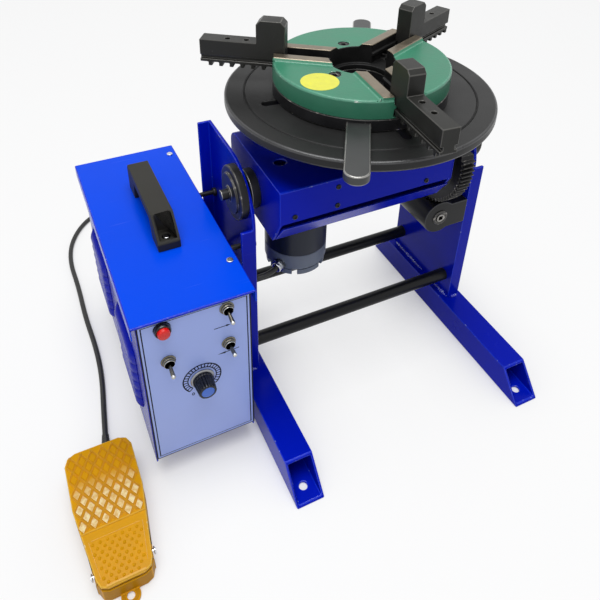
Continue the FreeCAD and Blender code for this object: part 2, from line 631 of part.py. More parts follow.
# --------------------------------------------------------------------------------------------
# Chuck: adapter, green body with machined rails, scroll ring with two handles, three jaws
# --------------------------------------------------------------------------------------------
node("chuck_adapter", cut(
    rod("hub_radius_chuck", "adapter_top - table_top", "table_x", "axis_y", "table_top"),
    rod("adapter_bore", "adapter_top - table_top", "table_x", "axis_y", "table_top"),
    *[screw_tool("chuck_screw_radius + 0.3", "table_top", "adapter_top", index)
      for index in range(3)]))

chuck_disc = revolved("chuck_profile", [
    ("adapter_bore", "adapter_top"), ("hub_radius_chuck", "adapter_top"),
    ("hub_radius_chuck", "well_top"), ("well_radius", "well_top"),
    ("well_radius", "chuck_bottom"), ("chuck_radius", "chuck_bottom"),
    ("chuck_radius", "chuck_top - 1.5"), ("chuck_radius - 1.5", "chuck_top"),
    ("chuck_bore", "chuck_top"), ("chuck_bore", "hub_top"), ("adapter_bore", "hub_top")])


def jaw_way(index):
    """The T-shaped way for one jaw, open at the bore and at the rim."""
    way = cut(
        box("chuck_radius + 5", "2 * rail_inner", "rail_top - hub_top + 1", "0", "-rail_inner",
            "hub_top"),
        *[box("chuck_radius + 5", "tongue_depth", "tongue_top - tongue_bottom", "0", y,
              "tongue_bottom") for y in ("-rail_inner", "rail_inner - tongue_depth")])
    return place(way, 0, 0, 0, Vector(0, 0, 1), size("jaw_angle") + 120 * index)


def rail_pair(index):
    """A rail each side of the way, upright inside and sloped on the outside."""
    rails = []
    for name, side in SIDES:
        rail = padded(f"rail_{name}_{index + 1}", "YZ_Plane", [
            (f"{side} * rail_inner", "chuck_top - 0.5"),
            (f"{side} * (rail_outer + rail_slope)", "chuck_top - 0.5"),
            (f"{side} * rail_outer", "rail_top"), (f"{side} * rail_inner", "rail_top")],
            "chuck_radius - 1")
        rails.append(place(rail, 0))
    return place(fuse(*rails), 0, 0, 0, Vector(0, 0, 1), size("jaw_angle") + 120 * index)


rail_ring = cut(rod("chuck_radius - 1", "rail_top - chuck_top + 1", 0, 0, "chuck_top - 0.5"),
                rod("chuck_bore", "rail_top - chuck_top + 1", 0, 0, "chuck_top - 0.5"))
rails = common(rail_ring, fuse(*[rail_pair(index) for index in range(3)]))
chuck_blank = on_table(cut(fuse(chuck_disc, rails), *[jaw_way(index) for index in range(3)]))
SEAT = "chuck_top - chuck_head_depth"
node("chuck_body", cut(
    chuck_blank,
    *[screw_tool("chuck_head_radius + 0.3", SEAT, "rail_top", index) for index in range(3)],
    *[screw_tool("chuck_screw_radius + 0.3", "adapter_top", SEAT, index) for index in range(3)]))
node("chuck_screws", group(*[
    cut(fuse(screw_tool("chuck_screw_radius", "table_bottom + 2", SEAT, index),
             screw_tool("chuck_head_radius", SEAT, "chuck_top - 1", index)),
        screw_tool("3", "chuck_top - 5", "chuck_top - 1", index)) for index in range(3)]))


def spiral(radius_shift):
    """Points of the scroll's spiral: one pitch outwards for every turn."""
    pitch, step = size("scroll_pitch"), size("ridge_step")
    inner, outer = size("ridge_inner"), size("ridge_outer")
    count = int((outer - inner) / pitch * 360 / step)
    points = []
    for index in range(count + 1):
        angle = math.radians(index * step)
        radius = inner + pitch * angle / (2 * math.pi) + radius_shift
        points.append(Vector(radius * math.cos(angle), radius * math.sin(angle),
                             size("scroll_disc_top") - 0.2))
    return points


half_ridge = size("ridge_width") / 2
ridge = polygon_solid(spiral(-half_ridge) + spiral(half_ridge)[::-1],
                      Vector(0, 0, size("ridge_top") - size("scroll_disc_top") + 0.2))
ring = revolved("scroll_profile", [
    ("ring_inner", "ring_bottom"), ("chuck_radius", "ring_bottom"), ("chuck_radius", "ring_top"),
    ("scroll_disc_radius", "ring_top"), ("scroll_disc_radius", "scroll_disc_top"),
    ("ring_inner", "scroll_disc_top")])


def handle_bar():
    """One flat bar, set in the underside of the ring and rounded at its free end."""
    return fuse(box("handle_bar_outer - handle_bar_width / 2 - handle_bar_inner",
                    "handle_bar_width", "handle_bar_thick", "handle_bar_inner",
                    "-handle_bar_width / 2", "ring_bottom"),
                rod("handle_bar_width / 2", "handle_bar_thick",
                    "handle_bar_outer - handle_bar_width / 2", 0, "ring_bottom"))


def both_ends(part_maker):
    return [place(part_maker(), 0, 0, 0, Vector(0, 0, 1), size("handle_bar_angle") + turn)
            for turn in (0, 180)]


node("scroll_ring", on_table(cut(fuse(ring, solid(ridge)), *both_ends(handle_bar))))
node("scroll_handles", on_table(group(*both_ends(handle_bar))))


def jaw(index):
    """Block and arm in one piece, guided by a groove each side, toothed below for the scroll."""
    angle = size("jaw_angle") + 120 * index
    side = padded(f"jaw_{index + 1}_profile", "XZ_Plane", [
        ("jaw_inner", "jaw_rack_top"), ("jaw_rack_inner", "jaw_rack_top"),
        ("jaw_rack_inner", "jaw_foot"), ("jaw_end", "jaw_foot"), ("jaw_end", "jaw_arm_top"),
        ("jaw_block_end", "jaw_arm_top"), ("jaw_block_end", "jaw_block_top - jaw_round"),
        ("jaw_block_end - jaw_round", "jaw_block_top"), ("jaw_inner + jaw_round", "jaw_block_top"),
        ("jaw_inner", "jaw_block_top - jaw_round")], "2 * jaw_half_width")
    place(side, 0, "jaw_half_width")
    grooves = [box("jaw_end - jaw_inner", "jaw_groove", "tongue_top - tongue_bottom + 0.6",
                   "jaw_inner", y, "tongue_bottom - 0.3")
               for y in ("-jaw_half_width", "jaw_half_width - jaw_groove")]
    holes = [rod("jaw_hole", "12", x, 0, "jaw_arm_top - 12")
             for x in ("jaw_hole_near", "jaw_hole_far")]
    pitch, half = size("scroll_pitch"), size("jaw_tooth") / 2
    first = size("ridge_inner") + pitch * (angle / 360 + 0.5)
    first += pitch * math.ceil((size("jaw_rack_inner") + half - first) / pitch)
    count = int((size("jaw_end") - half - first) / pitch) + 1
    teeth_bars = [box("jaw_tooth", "2 * jaw_half_width", "jaw_foot - jaw_tooth_bottom",
                      f"{first} + {number} * scroll_pitch - jaw_tooth / 2", "-jaw_half_width",
                      "jaw_tooth_bottom") for number in range(count)]
    whole = cut(fuse(side, *teeth_bars), *grooves, *holes)
    return node(f"jaw_{index + 1}", on_table(whole, angle))


for number in range(3):
    jaw(number)


# --------------------------------------------------------------------------------------------
# Control box: folded shell, lid, front panel, carrying handle, hung on four long bolts
# --------------------------------------------------------------------------------------------
BOX_WIDE, BOX_DEEP = "box_right - box_left", "box_rear - box_front"
box_shell = cut(
    fuse(box(BOX_WIDE, BOX_DEEP, "box_top - box_bottom", "box_left", "box_front", "box_bottom"),
         *[box("box_sheet", BOX_DEEP, "box_bottom - box_skirt_bottom + 1", x, "box_front",
               "box_skirt_bottom") for x in ("box_left", "box_right - box_sheet")]),
    box(f"{BOX_WIDE} - 2 * box_sheet", f"{BOX_DEEP} - box_sheet",
        "box_top - box_bottom - box_sheet", "box_left + box_sheet", "box_front",
        "box_bottom + box_sheet"),
    *[rod("hang_hole", "box_sheet", "box_right - box_sheet", y, z, "x")
      for y in ("hang_front_y", "hang_rear_y") for z in ("hang_z", "hang_low_z")],
    rod("gland_bore", "box_sheet", "box_right - box_sheet", "box_gland_y", "box_gland_z", "x"),
    rod("gland_bore", "box_sheet", "rear_gland_x", "box_rear - box_sheet", "rear_gland_z", "y"),
    box("27", "box_sheet", "31", "inlet_x - 13.5", "box_rear - box_sheet", "rear_gland_z - 15.5"),
    *[box("box_sheet", "vent_length", "vent_slot", "box_left", y, f"vent_low_z + {row} * vent_step")
      for y in ("vent_front_y", "vent_rear_y") for row in range(int(size("vent_rows")))])
node("control_box_shell", box_shell)
LID_LEFT, LID_RIGHT = "box_left - lid_over", "box_right + lid_over"
lid_top = box(f"{LID_RIGHT} - ({LID_LEFT})", "lid_rear - lid_front", "lid_thick", LID_LEFT,
              "lid_front", "box_top")
lid_skirts = [box("lid_skirt_thick", "lid_rear - lid_front", "lid_skirt + 0.5", x, "lid_front",
                  "box_top - lid_skirt")
              for x in (LID_LEFT, f"{LID_RIGHT} - lid_skirt_thick")]
notches = [box("lid_skirt_thick", "2 * spacer_tube + 2", "lid_skirt", f"{LID_RIGHT} - lid_skirt_thick",
               f"{y} - spacer_tube - 1", "hang_z + spacer_tube + 1 - lid_skirt")
           for y in ("hang_front_y", "hang_rear_y")]
node("control_box_lid", cut(fuse(lid_top, *lid_skirts), *notches))
front_fittings = [rod("bezel_radius - 1", "panel_thick", "button_x", "box_front - panel_thick",
                      "button_z", "y"),
                  rod("4", "panel_thick", "knob_x", "box_front - panel_thick", "knob_z", "y")]
TOGGLES = [("toggle_right_x", "toggle_top_z"), ("toggle_right_x", "toggle_low_z"),
           ("toggle_left_x", "toggle_left_z")]
THREE_WAY = 1  # the second toggle rests in the middle and is thrown either way
front_fittings += [rod("6", "panel_thick", x, "box_front - panel_thick", z, "y")
                   for x, z in TOGGLES]
node("front_panel", cut(box(f"{BOX_WIDE} - 2", "panel_thick", "box_top - box_bottom - 1",
                            "box_left + 1", "box_front - panel_thick", "box_bottom + 0.5"),
                        *front_fittings))

handle_side = padded("handle_profile", "YZ_Plane", [
    ("handle_front", "0"), ("handle_front + handle_foot", "0"),
    ("handle_front + handle_foot + 8", "handle_rise - handle_grip"),
    ("handle_rear - handle_foot - 4", "handle_rise - handle_grip"),
    ("handle_rear - handle_foot", "0"), ("handle_rear", "0"),
    ("handle_rear", "handle_rise - 6"), ("handle_rear - 4", "handle_rise"),
    ("handle_front + 25", "handle_rise"), ("handle_front", "10")], "handle_width")
HANDLE_BASE, POCKET_LEFT = "box_top + lid_thick", "handle_x - handle_width / 2 + 4"
place(handle_side, "handle_x - handle_width / 2", 0, HANDLE_BASE)
HANDLE_SCREWS = ("handle_front + 13", "handle_rear - 10")
node("carry_handle", cut(
    handle_side,
    box("handle_width - 8", "21", "handle_rise", POCKET_LEFT, "handle_front + 3",
        f"{HANDLE_BASE} + 11"),
    box("handle_width - 8", "18", "18", POCKET_LEFT, "handle_rear - 18", f"{HANDLE_BASE} + 11"),
    *[rod("5", "8", "handle_x", y, f"{HANDLE_BASE} + 6") for y in HANDLE_SCREWS]))


node("box_screws", group(*[rod("4", "2", "box_right - 4", y, HANDLE_BASE)
                           for y in ("-24", "214")],
                         *[rod("4", "5", "handle_x", y, f"{HANDLE_BASE} + 6")
                           for y in HANDLE_SCREWS]))


def hanger(y, z):
    inside = "-plate_gap / 2"
    return fuse(rod("hang_head", "hang_head_thick", inside, y, z, "x"),
                rod("hang_bolt", f"{inside} - box_right + 8", "box_right - 8", y, z, "x"))


node("box_hangers", group(*[hanger(y, z) for y in ("hang_front_y", "hang_rear_y")
                            for z in ("hang_z", "hang_low_z")]))

PANEL_FACE = "box_front - panel_thick"
node("power_button", fuse(
    rod("button_radius", "7", "button_x", f"{PANEL_FACE} - 9", "button_z", "y"),
    rod("button_radius - 2", "15", "button_x", f"{PANEL_FACE} - 2", "button_z", "y")))
node("button_bezel", cut(
    fuse(rod("bezel_radius", "5", "button_x", f"{PANEL_FACE} - 5", "button_z", "y"),
         rod("bezel_radius - 1.1", "4", "button_x", f"{PANEL_FACE} - 1", "button_z", "y"),
         box("18", "24", "18", "button_x - 9", "box_front", "button_z - 9")),
    rod("button_radius + 0.3", "6", "button_x", f"{PANEL_FACE} - 5", "button_z", "y"),
    rod("button_radius - 1.7", "22", "button_x", f"{PANEL_FACE} - 1", "button_z", "y")))


def toggle_base(x, z):
    return cut(
        fuse(rod("toggle_nut", "2.5", x, f"{PANEL_FACE} - 2.5", z, "y"),
             rod("5.8", "14", x, f"{PANEL_FACE} - 6", z, "y"),
             box("13", "18", "20", f"{x} - 6.5", "box_front", f"{z} - 10")),
        taper("5", "3.4", "5.5", x, f"{PANEL_FACE} - 6", z, "y"),
        rod("3.4", "10", x, f"{PANEL_FACE} - 1", z, "y"))


node("toggle_bases", group(*[toggle_base(x, z) for x, z in TOGGLES]))


def ball(radius, z):
    return place(bind(doc.addObject("Part::Sphere"), Radius=radius), 0, 0, z)


def toggle_lever(x, z, rest):
    """A round bat that widens towards its rounded end, on a cross pin behind the panel."""
    bat = fuse(taper("1.5", "2.4", "19", 0, 0, 0), ball("2.4", "19"), ball("2.6", "0"),
               rod("1.2", "6.2", "-3.1", 0, 0, "x"))
    return place(bat, x, PANEL_FACE, z, Vector(1, 0, 0), 90 - rest)


for number, (x, z) in enumerate(TOGGLES):
    rest_angle = 0 if number == THREE_WAY else size("toggle_rest")
    node(f"toggle_lever_{number + 1}", toggle_lever(x, z, rest_angle))

node("speed_control", cut(
    fuse(rod("3.9", "10.2", "knob_x", f"{PANEL_FACE} - 4.2", "knob_z", "y"),
         rod("12", "16", "knob_x", "box_front", "knob_z", "y")),
    rod("3.3", "14", "knob_x", f"{PANEL_FACE} - 4.2", "knob_z", "y")))
node("speed_knob", fuse(cut(
    fuse(rod("knob_radius + 2.5", "2", "knob_x", f"{PANEL_FACE} - 2.8", "knob_z", "y"),
         taper("knob_radius - 1.5", "knob_radius", "knob_length", "knob_x",
               f"{PANEL_FACE} - 2.8 - knob_length", "knob_z", "y")),
    rod("4.4", "3.8", "knob_x", f"{PANEL_FACE} - 4.6", "knob_z", "y")),
    rod("3", "14", "knob_x", f"{PANEL_FACE} - 6", "knob_z", "y")))

node("box_spacers", group(*[
    cut(rod("spacer_tube", "-box_right - plate_gap / 2 - plate_thick", "box_right", y, z, "x"),
        rod("hang_hole", "-box_right - plate_gap / 2 - plate_thick", "box_right", y, z, "x"))
    for y in ("hang_front_y", "hang_rear_y") for z in ("hang_z", "hang_low_z")]))
node("control_board", box("90", "150", "1.6", "box_left + 16", "box_front + 60",
                          "box_bottom + 14"))
node("power_supply", box("70", "62", "58", "box_left + 30", "box_rear - 90",
                         "box_bottom + box_sheet + 20"))


def gland(x, y, z, along, outward):
    """Threaded sleeve through the sheet with a clamping dome outside."""
    def sleeve(radius, first, length):
        low = first if outward > 0 else -first - length
        if along == "x":
            return rod(radius, str(length), f"{x} + {low}", y, z, "x")
        return rod(radius, str(length), x, f"{y} + {low}", z, "y")
    return cut(fuse(sleeve("gland_bore", -8, 8), sleeve("8", 0, 4), sleeve("6.4", 4, 4)),
               sleeve("cable_radius + 0.1", -8, 16))


node("cable_glands", group(gland("box_right", "box_gland_y", "box_gland_z", "x", 1),
                           gland("rear_gland_x", "box_rear", "rear_gland_z", "y", 1)))
node("mains_inlet", cut(
    fuse(box("26.6", "22", "30.6", "inlet_x - 13.3", "box_rear - 22", "rear_gland_z - 15.3"),
         box("34", "3", "38", "inlet_x - 17", "box_rear", "rear_gland_z - 19")),
    box("21", "20", "16", "inlet_x - 10.5", "box_rear - 17", "rear_gland_z - 8")))


# --------------------------------------------------------------------------------------------
# Foot pedal: base with side walls and an anchor ear, plate on a cross pin, switch and spring
# --------------------------------------------------------------------------------------------
def pedal_outline(inset):
    """Parallel sides that taper from the waist to the near end, with both ends rounded."""
    far, near = f"pedal_far - {inset}", f"pedal_near + {inset}"
    wide, narrow = f"pedal_half_far - {inset}", f"pedal_half_near - {inset}"
    right = [(f"{narrow} - 10", near), (f"{narrow} - 3", f"{near} + 3"), (narrow, f"{near} + 10"),
             (wide, "pedal_waist"), (wide, f"{far} - 13"), (f"{wide} - 4", f"{far} - 4"),
             (f"{wide} - 13", far)]
    return right + [(f"-({x})", y) for x, y in reversed(right)]


pin_length = "2 * pedal_half_near + 10"
cheeks = [box("3", "16", "pedal_pin_z + 3.5", f"pedal_x {offset}", "pedal_pin_y - 8", 0)
          for offset in ("- pedal_half_near - 1.2", "+ pedal_half_near - 1.8")]
pedal_floor = place(padded("pedal_base_profile", "XY_Plane", pedal_outline("0"),
                           "pedal_base_height"), "pedal_x")
pedal_well = place(padded("pedal_well_profile", "XY_Plane", pedal_outline("pedal_wall"),
                          "pedal_base_height"), "pedal_x", 0, "pedal_wall")


def cross_rod(radius, length):
    return rod(radius, length, f"pedal_x - ({length}) / 2", "pedal_pin_y", "pedal_pin_z", "x")


node("pedal_base", cut(
    fuse(pedal_floor, rod("ear_radius", "pedal_wall", "pedal_x", "ear_y", 0), *cheeks),
    cut(pedal_well, rod("ear_radius", "pedal_wall", "pedal_x", "ear_y", "pedal_wall")),
    cross_rod("pedal_pin_radius", pin_length),
    rod("ear_bore", "pedal_wall", "pedal_x", "ear_y", 0),
    rod("cable_radius + 2", "pedal_wall", "pedal_exit_x", "pedal_far - pedal_wall",
        "pedal_exit_z", "y")))
node("pedal_pin", cross_rod("pedal_pin_radius", pin_length))

tread = padded("tread_profile", "YZ_Plane", [
    ("pedal_near", "pedal_near_z"), ("pedal_fold", "pedal_fold_z"), ("pedal_far", "pedal_far_z"),
    ("pedal_far", "pedal_far_z - pedal_thick"), ("pedal_fold", "pedal_fold_z - pedal_thick"),
    ("pedal_near", "pedal_near_z - pedal_thick")], "4 * pedal_half_far")
place(tread, "pedal_x - 2 * pedal_half_far")
trim = place(padded("tread_outline", "XY_Plane", pedal_outline("0"), "2 * pedal_fold_z"),
             "pedal_x")
knuckles = [box("4", "12", "13", f"pedal_x {offset}", "pedal_pin_y - 6", "pedal_pin_z - 4")
            for offset in ("- 18", "+ 14")]
node("pedal_plate", cut(fuse(common(tread, trim), *knuckles),
                        cross_rod("pedal_pin_radius + running_gap", pin_length)))
node("pedal_switch", fuse(
    box("20", "28", "16", "pedal_x - 10", "pedal_far - 60", "pedal_wall"),
    rod("3", "4", "pedal_x", "pedal_far - 46", "pedal_wall + 16")))


# --------------------------------------------------------------------------------------------
# Cords: straight runs joined by arcs, each arc as wide as the shorter run beside it allows
# --------------------------------------------------------------------------------------------
def cord(points, radius):
    stops = [Vector(*point) for point in points]
    edges, last, tightest = [], stops[0], None
    for before, corner, after in zip(stops, stops[1:], stops[2:]):
        inward, outward = corner - before, after - corner
        reach = 0.45 * min(inward.Length, outward.Length)
        turn = inward.getAngle(outward)
        inward.normalize()
        outward.normalize()
        start, end = corner - inward * reach, corner + outward * reach
        bend = reach / math.tan(turn / 2)
        middle_way = (outward - inward).normalize()
        middle = corner + middle_way * (bend / math.cos(turn / 2) - bend)
        edges += [Part.LineSegment(last, start).toShape(),
                  Part.Arc(start, middle, end).toShape()]
        last, tightest = end, min(bend, tightest or bend)
    edges.append(Part.LineSegment(last, stops[-1]).toShape())
    path = Part.Wire(edges)
    circle = Part.makeCircle(radius, stops[0], stops[1] - stops[0])
    tube = path.makePipe(Part.Face(Part.Wire(circle)))
    expected = math.pi * radius ** 2 * path.Length
    print(f"cord length {path.Length:.1f} tightest {tightest:.1f} "
          f"volume share {tube.Volume / expected:.4f} valid {tube.isValid()}")
    return tube


def spring_lap(step):
    turn = math.radians(45 * step)
    return (size("pedal_x") + 6 * math.cos(turn), size("pedal_fold") + 6 + 6 * math.sin(turn),
            size("pedal_wall") + 1.1 + step * spring_rise / spring_steps)


spring_steps = 40
spring_rise = size("pedal_fold_z") - size("pedal_thick") - size("pedal_wall") - 2.8
node("pedal_spring", solid(cord([spring_lap(step) for step in range(spring_steps + 1)], 1)))

floor_z = cable_radius + 0.1
exit_point = (size("pedal_exit_x"), size("pedal_far") - 1, size("pedal_exit_z"))
coil_x, coil_y, coil_radius = size("coil_x"), size("coil_y"), size("coil_radius")
coil_start = (coil_x + coil_radius, coil_y)
to_coil = cord([exit_point, (-353, 32, floor_z), (-343, 95, floor_z), (-341, 150, floor_z),
                (-344.5, 215, floor_z), (-343, 285, floor_z), (-346, 350, floor_z),
                (-335, 403, floor_z), (-303, 452, floor_z), (-258, 474, floor_z),
                (-214, 460, floor_z), (coil_start[0] + 1, coil_y + 62, floor_z),
                (*coil_start, floor_z)], cable_radius)
run_out = Vector(-353, 32, floor_z) - Vector(*exit_point)
boot = Part.makeCone(6.2, cable_radius + 0.7, 30, Vector(*exit_point) + run_out.normalize() * 2.4,
                     run_out)
node("pedal_cable", solid(to_coil.fuse(boot).removeSplitter()))
coil_rise, steps = size("coil_rise"), 12
lap = [(coil_x + coil_radius * math.cos(2 * math.pi * step / steps),
        coil_y - coil_radius * math.sin(2 * math.pi * step / steps),
        floor_z + coil_rise * step / steps) for step in range(int(size("coil_turns")) * steps + 1)]
top_z, gland_y = lap[-1][2], size("box_rear") + 8
coil = cord(lap + [(coil_start[0] - 0.5, coil_y - 30, top_z + 3),
                   (coil_start[0] - 4, coil_y - 58, top_z + 14),
                   (size("rear_gland_x"), coil_y - 84, size("rear_gland_z")),
                   (size("rear_gland_x"), gland_y - 8, size("rear_gland_z"))], cable_radius)
node("pedal_cable_coil", solid(coil))

gland_end = motor_centre + gland_axis * (flat_start + 6)
first_bend = gland_end + gland_axis * 18
motor_cord = cord([tuple(gland_end), tuple(first_bend), (-168, 6.8, 189), (-173, 15, 165),
                   (-172, 28, 125),
                   (-172, 42, 88), (-172, 64, 72), (-172, 86, 84), (-171, 99, 116),
                   (-168.5, 109, 146), (-168, size("box_gland_y"), size("box_gland_z")),
                   (size("box_right") - 4, size("box_gland_y"), size("box_gland_z"))],
                  cable_radius)
node("motor_cable", solid(motor_cord))


# --------------------------------------------------------------------------------------------
# Checks and files
# --------------------------------------------------------------------------------------------
doc.recompute()
for item in doc.Objects:
    if "Invalid" in item.State or "Error" in item.State:
        raise RuntimeError(f"{item.Label} did not compute: {item.State}")
os.makedirs("parts", exist_ok=True)
for item in NODES:
    shape = item.Shape
    if shape.isNull() or not shape.isValid() or not shape.Solids:
        raise RuntimeError(f"{item.Label} has no valid solid")
    shape.exportStep(f"parts/{item.Label}.step")
    limits = shape.BoundBox
    print(f"{item.Label:22s} solids {len(shape.Solids)} volume {shape.Volume / 1000:9.2f} "
          f"x {limits.XMin:.1f} {limits.XMax:.1f} y {limits.YMin:.1f} {limits.YMax:.1f} "
          f"z {limits.ZMin:.1f} {limits.ZMax:.1f}")
print("nodes", len(NODES))
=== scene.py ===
import math

import bmesh
import bpy
from mathutils import Matrix, Vector


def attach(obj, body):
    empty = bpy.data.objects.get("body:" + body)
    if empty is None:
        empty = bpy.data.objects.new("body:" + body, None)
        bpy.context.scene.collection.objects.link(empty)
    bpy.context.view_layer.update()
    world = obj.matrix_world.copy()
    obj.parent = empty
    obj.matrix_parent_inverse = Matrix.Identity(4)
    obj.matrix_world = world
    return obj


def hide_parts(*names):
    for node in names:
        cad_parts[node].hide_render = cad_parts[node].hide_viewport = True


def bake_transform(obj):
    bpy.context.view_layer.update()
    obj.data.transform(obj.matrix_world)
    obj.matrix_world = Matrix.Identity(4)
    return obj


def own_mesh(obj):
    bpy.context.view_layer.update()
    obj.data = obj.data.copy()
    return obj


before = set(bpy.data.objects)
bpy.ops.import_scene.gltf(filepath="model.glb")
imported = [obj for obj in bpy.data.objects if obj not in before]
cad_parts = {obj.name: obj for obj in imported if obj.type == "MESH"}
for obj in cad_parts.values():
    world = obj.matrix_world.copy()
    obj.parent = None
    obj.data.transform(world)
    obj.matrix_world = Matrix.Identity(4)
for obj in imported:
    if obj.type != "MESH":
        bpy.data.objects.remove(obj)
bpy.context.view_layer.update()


# The two feet: square steel tube laid front to back, cut on a slope at both ends
# so that the anchor hole in the floor of the tube can be reached. Sawn, the burrs
# taken off with a flap wheel, welded to the plates and sprayed with gloss enamel.
def linear(red, green, blue):
    """A colour on the 0 to 255 screen scale as the linear value a shader takes."""
    out = []
    for value in (red, green, blue):
        value = value / 255
        out.append(value / 12.92 if value <= 0.04045 else ((value + 0.055) / 1.055) ** 2.4)
    return (out[0], out[1], out[2], 1.0)


def feed(node, inputs):
    """Gives each input its plain value, or the socket that it reads."""
    for key, value in inputs.items():
        if isinstance(value, bpy.types.NodeSocket):
            node.id_data.links.new(value, node.inputs[key])
        else:
            node.inputs[key].default_value = value


def add(tree, kind, inputs, **settings):
    """A new node in the tree; its settings are made before its inputs are fed."""
    node = tree.nodes.new(kind)
    for key, value in settings.items():
        setattr(node, key, value)
    feed(node, inputs)
    return node


def reckon(tree, operation, one, two):
    """Two values added, taken away, multiplied or compared."""
    return add(tree, "ShaderNodeMath", {0: one, 1: two}, operation=operation).outputs["Value"]


def noise(tree, where, scale, detail, roughness=0.5):
    """Cloudy noise with about this many features to the metre."""
    return add(tree, "ShaderNodeTexNoise", {
        "Vector": where, "Scale": scale, "Detail": detail,
        "Roughness": roughness}).outputs["Fac"]


def ranged(tree, value, low, high, to_low=0.0, to_high=1.0):
    """The value's span from low to high, spread from to_low to to_high and held beyond."""
    return add(tree, "ShaderNodeMapRange", {
        "Value": value, "From Min": low, "From Max": high, "To Min": to_low,
        "To Max": to_high}).outputs["Result"]


def covered(tree, share, under, over):
    """The colour under, with a share of the colour over laid on it."""
    return add(tree, "ShaderNodeMix", {"Factor": share, "A": under, "B": over},
               data_type="RGBA").outputs["Result"]


def surface(name, colour, metal=0.0, rough=0.35, patch=0.10, patch_scale=14.0, grain=0.12,
            grain_scale=700.0, scratch=0.0, coat=0.0, chips=None, chip_from=0.62,
            chip_scale=120.0, mirror=0.5):
    """A finish with slow colour patches, fine grain, hairline scratches and pale chips; the chips
    are wear on most finishes and painted glints on the weld. Its colour and that of its chips are
    on the 0 to 255 screen scale."""
    material = bpy.data.materials.new(name)
    material.use_nodes = True
    tree = material.node_tree
    where = add(tree, "ShaderNodeTexCoord", {}).outputs["Object"]
    patches = noise(tree, where, patch_scale, 6.0, 0.6)
    tone = ranged(tree, patches, 0.3, 0.7, 1.0 - patch, 1.0 + patch)
    paint = add(tree, "ShaderNodeHueSaturation",
                {"Color": linear(*colour), "Value": tone}).outputs["Color"]
    dull = ranged(tree, patches, 0.25, 0.75, max(0.02, rough * 0.75), min(1.0, rough * 1.3))
    if scratch > 0:
        stretched = add(tree, "ShaderNodeMapping", {
            "Vector": where, "Rotation": (0.5, 0.35, 0.75), "Scale": (14.0, 520.0, 320.0)})
        hairs = noise(tree, stretched.outputs["Vector"], 1.0, 2.0)
        line = ranged(tree, hairs, 0.72, 0.80, 0.0, scratch)
        pale = tuple(min(1.0, 0.35 + part) for part in linear(*colour)[:3]) + (1.0,)
        paint = covered(tree, line, paint, pale)
        dull = reckon(tree, "ADD", dull, line)
    if chips is not None:
        flakes = noise(tree, where, chip_scale, 6.0, 0.65)
        bare = ranged(tree, flakes, chip_from, chip_from + 0.06)
        paint = covered(tree, bare, paint, linear(*chips))
    bump = add(tree, "ShaderNodeBump", {
        "Strength": grain, "Distance": 0.0004, "Height": noise(tree, where, grain_scale, 3.0)},
        name="Grain")
    feed(tree.nodes["Principled BSDF"], {
        "Metallic": metal, "Specular IOR Level": mirror, "Coat Weight": coat,
        "Coat Roughness": 0.08, "Base Color": paint, "Roughness": dull,
        "Normal": bump.outputs["Normal"]})
    return material


def placed(name, data):
    """An object made of this mesh, curve, lamp or camera, linked to the scene."""
    obj = bpy.data.objects.new(name, data)
    bpy.context.scene.collection.objects.link(obj)
    return obj


def show(name, mesh, material):
    """The finished mesh as a piece in the scene, in one finish."""
    mesh.materials.clear()
    mesh.materials.append(material)
    return placed(name, mesh)


def carried(piece, body, slot, *nodes):
    """The body that moves a piece, the CAD nodes it stands for, which are hidden, and a material
    slot that is not used.
    """
    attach(piece, body)
    if nodes:
        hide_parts(*nodes)
    return piece


def smooth(mesh, degrees=34):
    """Rounds shade smoothly, and edges sharper than this stay crisp."""
    mesh.polygons.foreach_set("use_smooth", [True] * len(mesh.polygons))
    mesh.set_sharp_from_angle(angle=math.radians(degrees))


def merged(mesh, flatten=False):
    """Joins a mesh's triangles where they meet; flatten makes whole flat faces of them."""
    same_place = 0.00001
    work = bmesh.new()
    work.from_mesh(mesh)
    bmesh.ops.remove_doubles(work, verts=work.verts, dist=same_place)
    if flatten:
        bmesh.ops.dissolve_degenerate(work, edges=work.edges, dist=same_place)
        bmesh.ops.dissolve_limit(work, angle_limit=math.radians(0.6),
                                 use_dissolve_boundaries=False, verts=work.verts,
                                 edges=work.edges)
    bmesh.ops.recalc_face_normals(work, faces=work.faces)
    work.to_mesh(mesh)
    work.free()


def baked(draft):
    """The draft's mesh with its modifiers worked out; the draft itself is removed."""
    bpy.context.view_layer.update()
    ready = draft.evaluated_get(bpy.context.evaluated_depsgraph_get())
    mesh = bpy.data.meshes.new_from_object(ready)
    bpy.data.objects.remove(draft)
    return mesh


def rounded(node, body, slot, width, material, edge=None, steps=2):
    """The same piece with its sharp edges broken by a real radius. Where edge is given, the bevels
    take that lighter finish, a painted highlight along the edges.
    """
    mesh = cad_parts[node].data.copy()
    merged(mesh, flatten=True)
    mesh.materials.clear()
    mesh.materials.append(material)
    mesh.materials.append(edge or material)
    draft = placed(node + "_draft", mesh)
    bevel = draft.modifiers.new("edges", "BEVEL")
    bevel.width = width
    bevel.segments = steps
    bevel.limit_method = "ANGLE"
    bevel.angle_limit = math.radians(38)
    bevel.use_clamp_overlap = False
    bevel.miter_outer = "MITER_ARC"
    bevel.material = 1
    mesh = baked(draft)
    smooth(mesh)
    draft = placed(node + "_draft", mesh)
    draft.modifiers.new("even", "WEIGHTED_NORMAL").keep_sharp = True
    mesh = baked(draft)
    mesh.name = node + "_rounded"
    return carried(placed(node + "_rounded", mesh), body, slot, node)


blue = surface("blue_enamel", (2, 26, 184), rough=0.22, patch=0.06, patch_scale=9, grain=0.08,
               grain_scale=420, scratch=0.04, mirror=0.08)
# A lighter blue for the bevels: a painted highlight along the edges; its pale chips are wear.
blue_edge_highlight_and_wear = surface("blue_enamel_edge_highlight_and_wear", (8, 44, 206), rough=0.20, patch_scale=40, grain=0.10,
                    mirror=0.3, chips=(150, 165, 205), chip_from=0.63, chip_scale=190)
for side in ("left", "right"):
    rounded(f"{side}_foot", "stand", "blue", 0.0013, blue, blue_edge_highlight_and_wear)


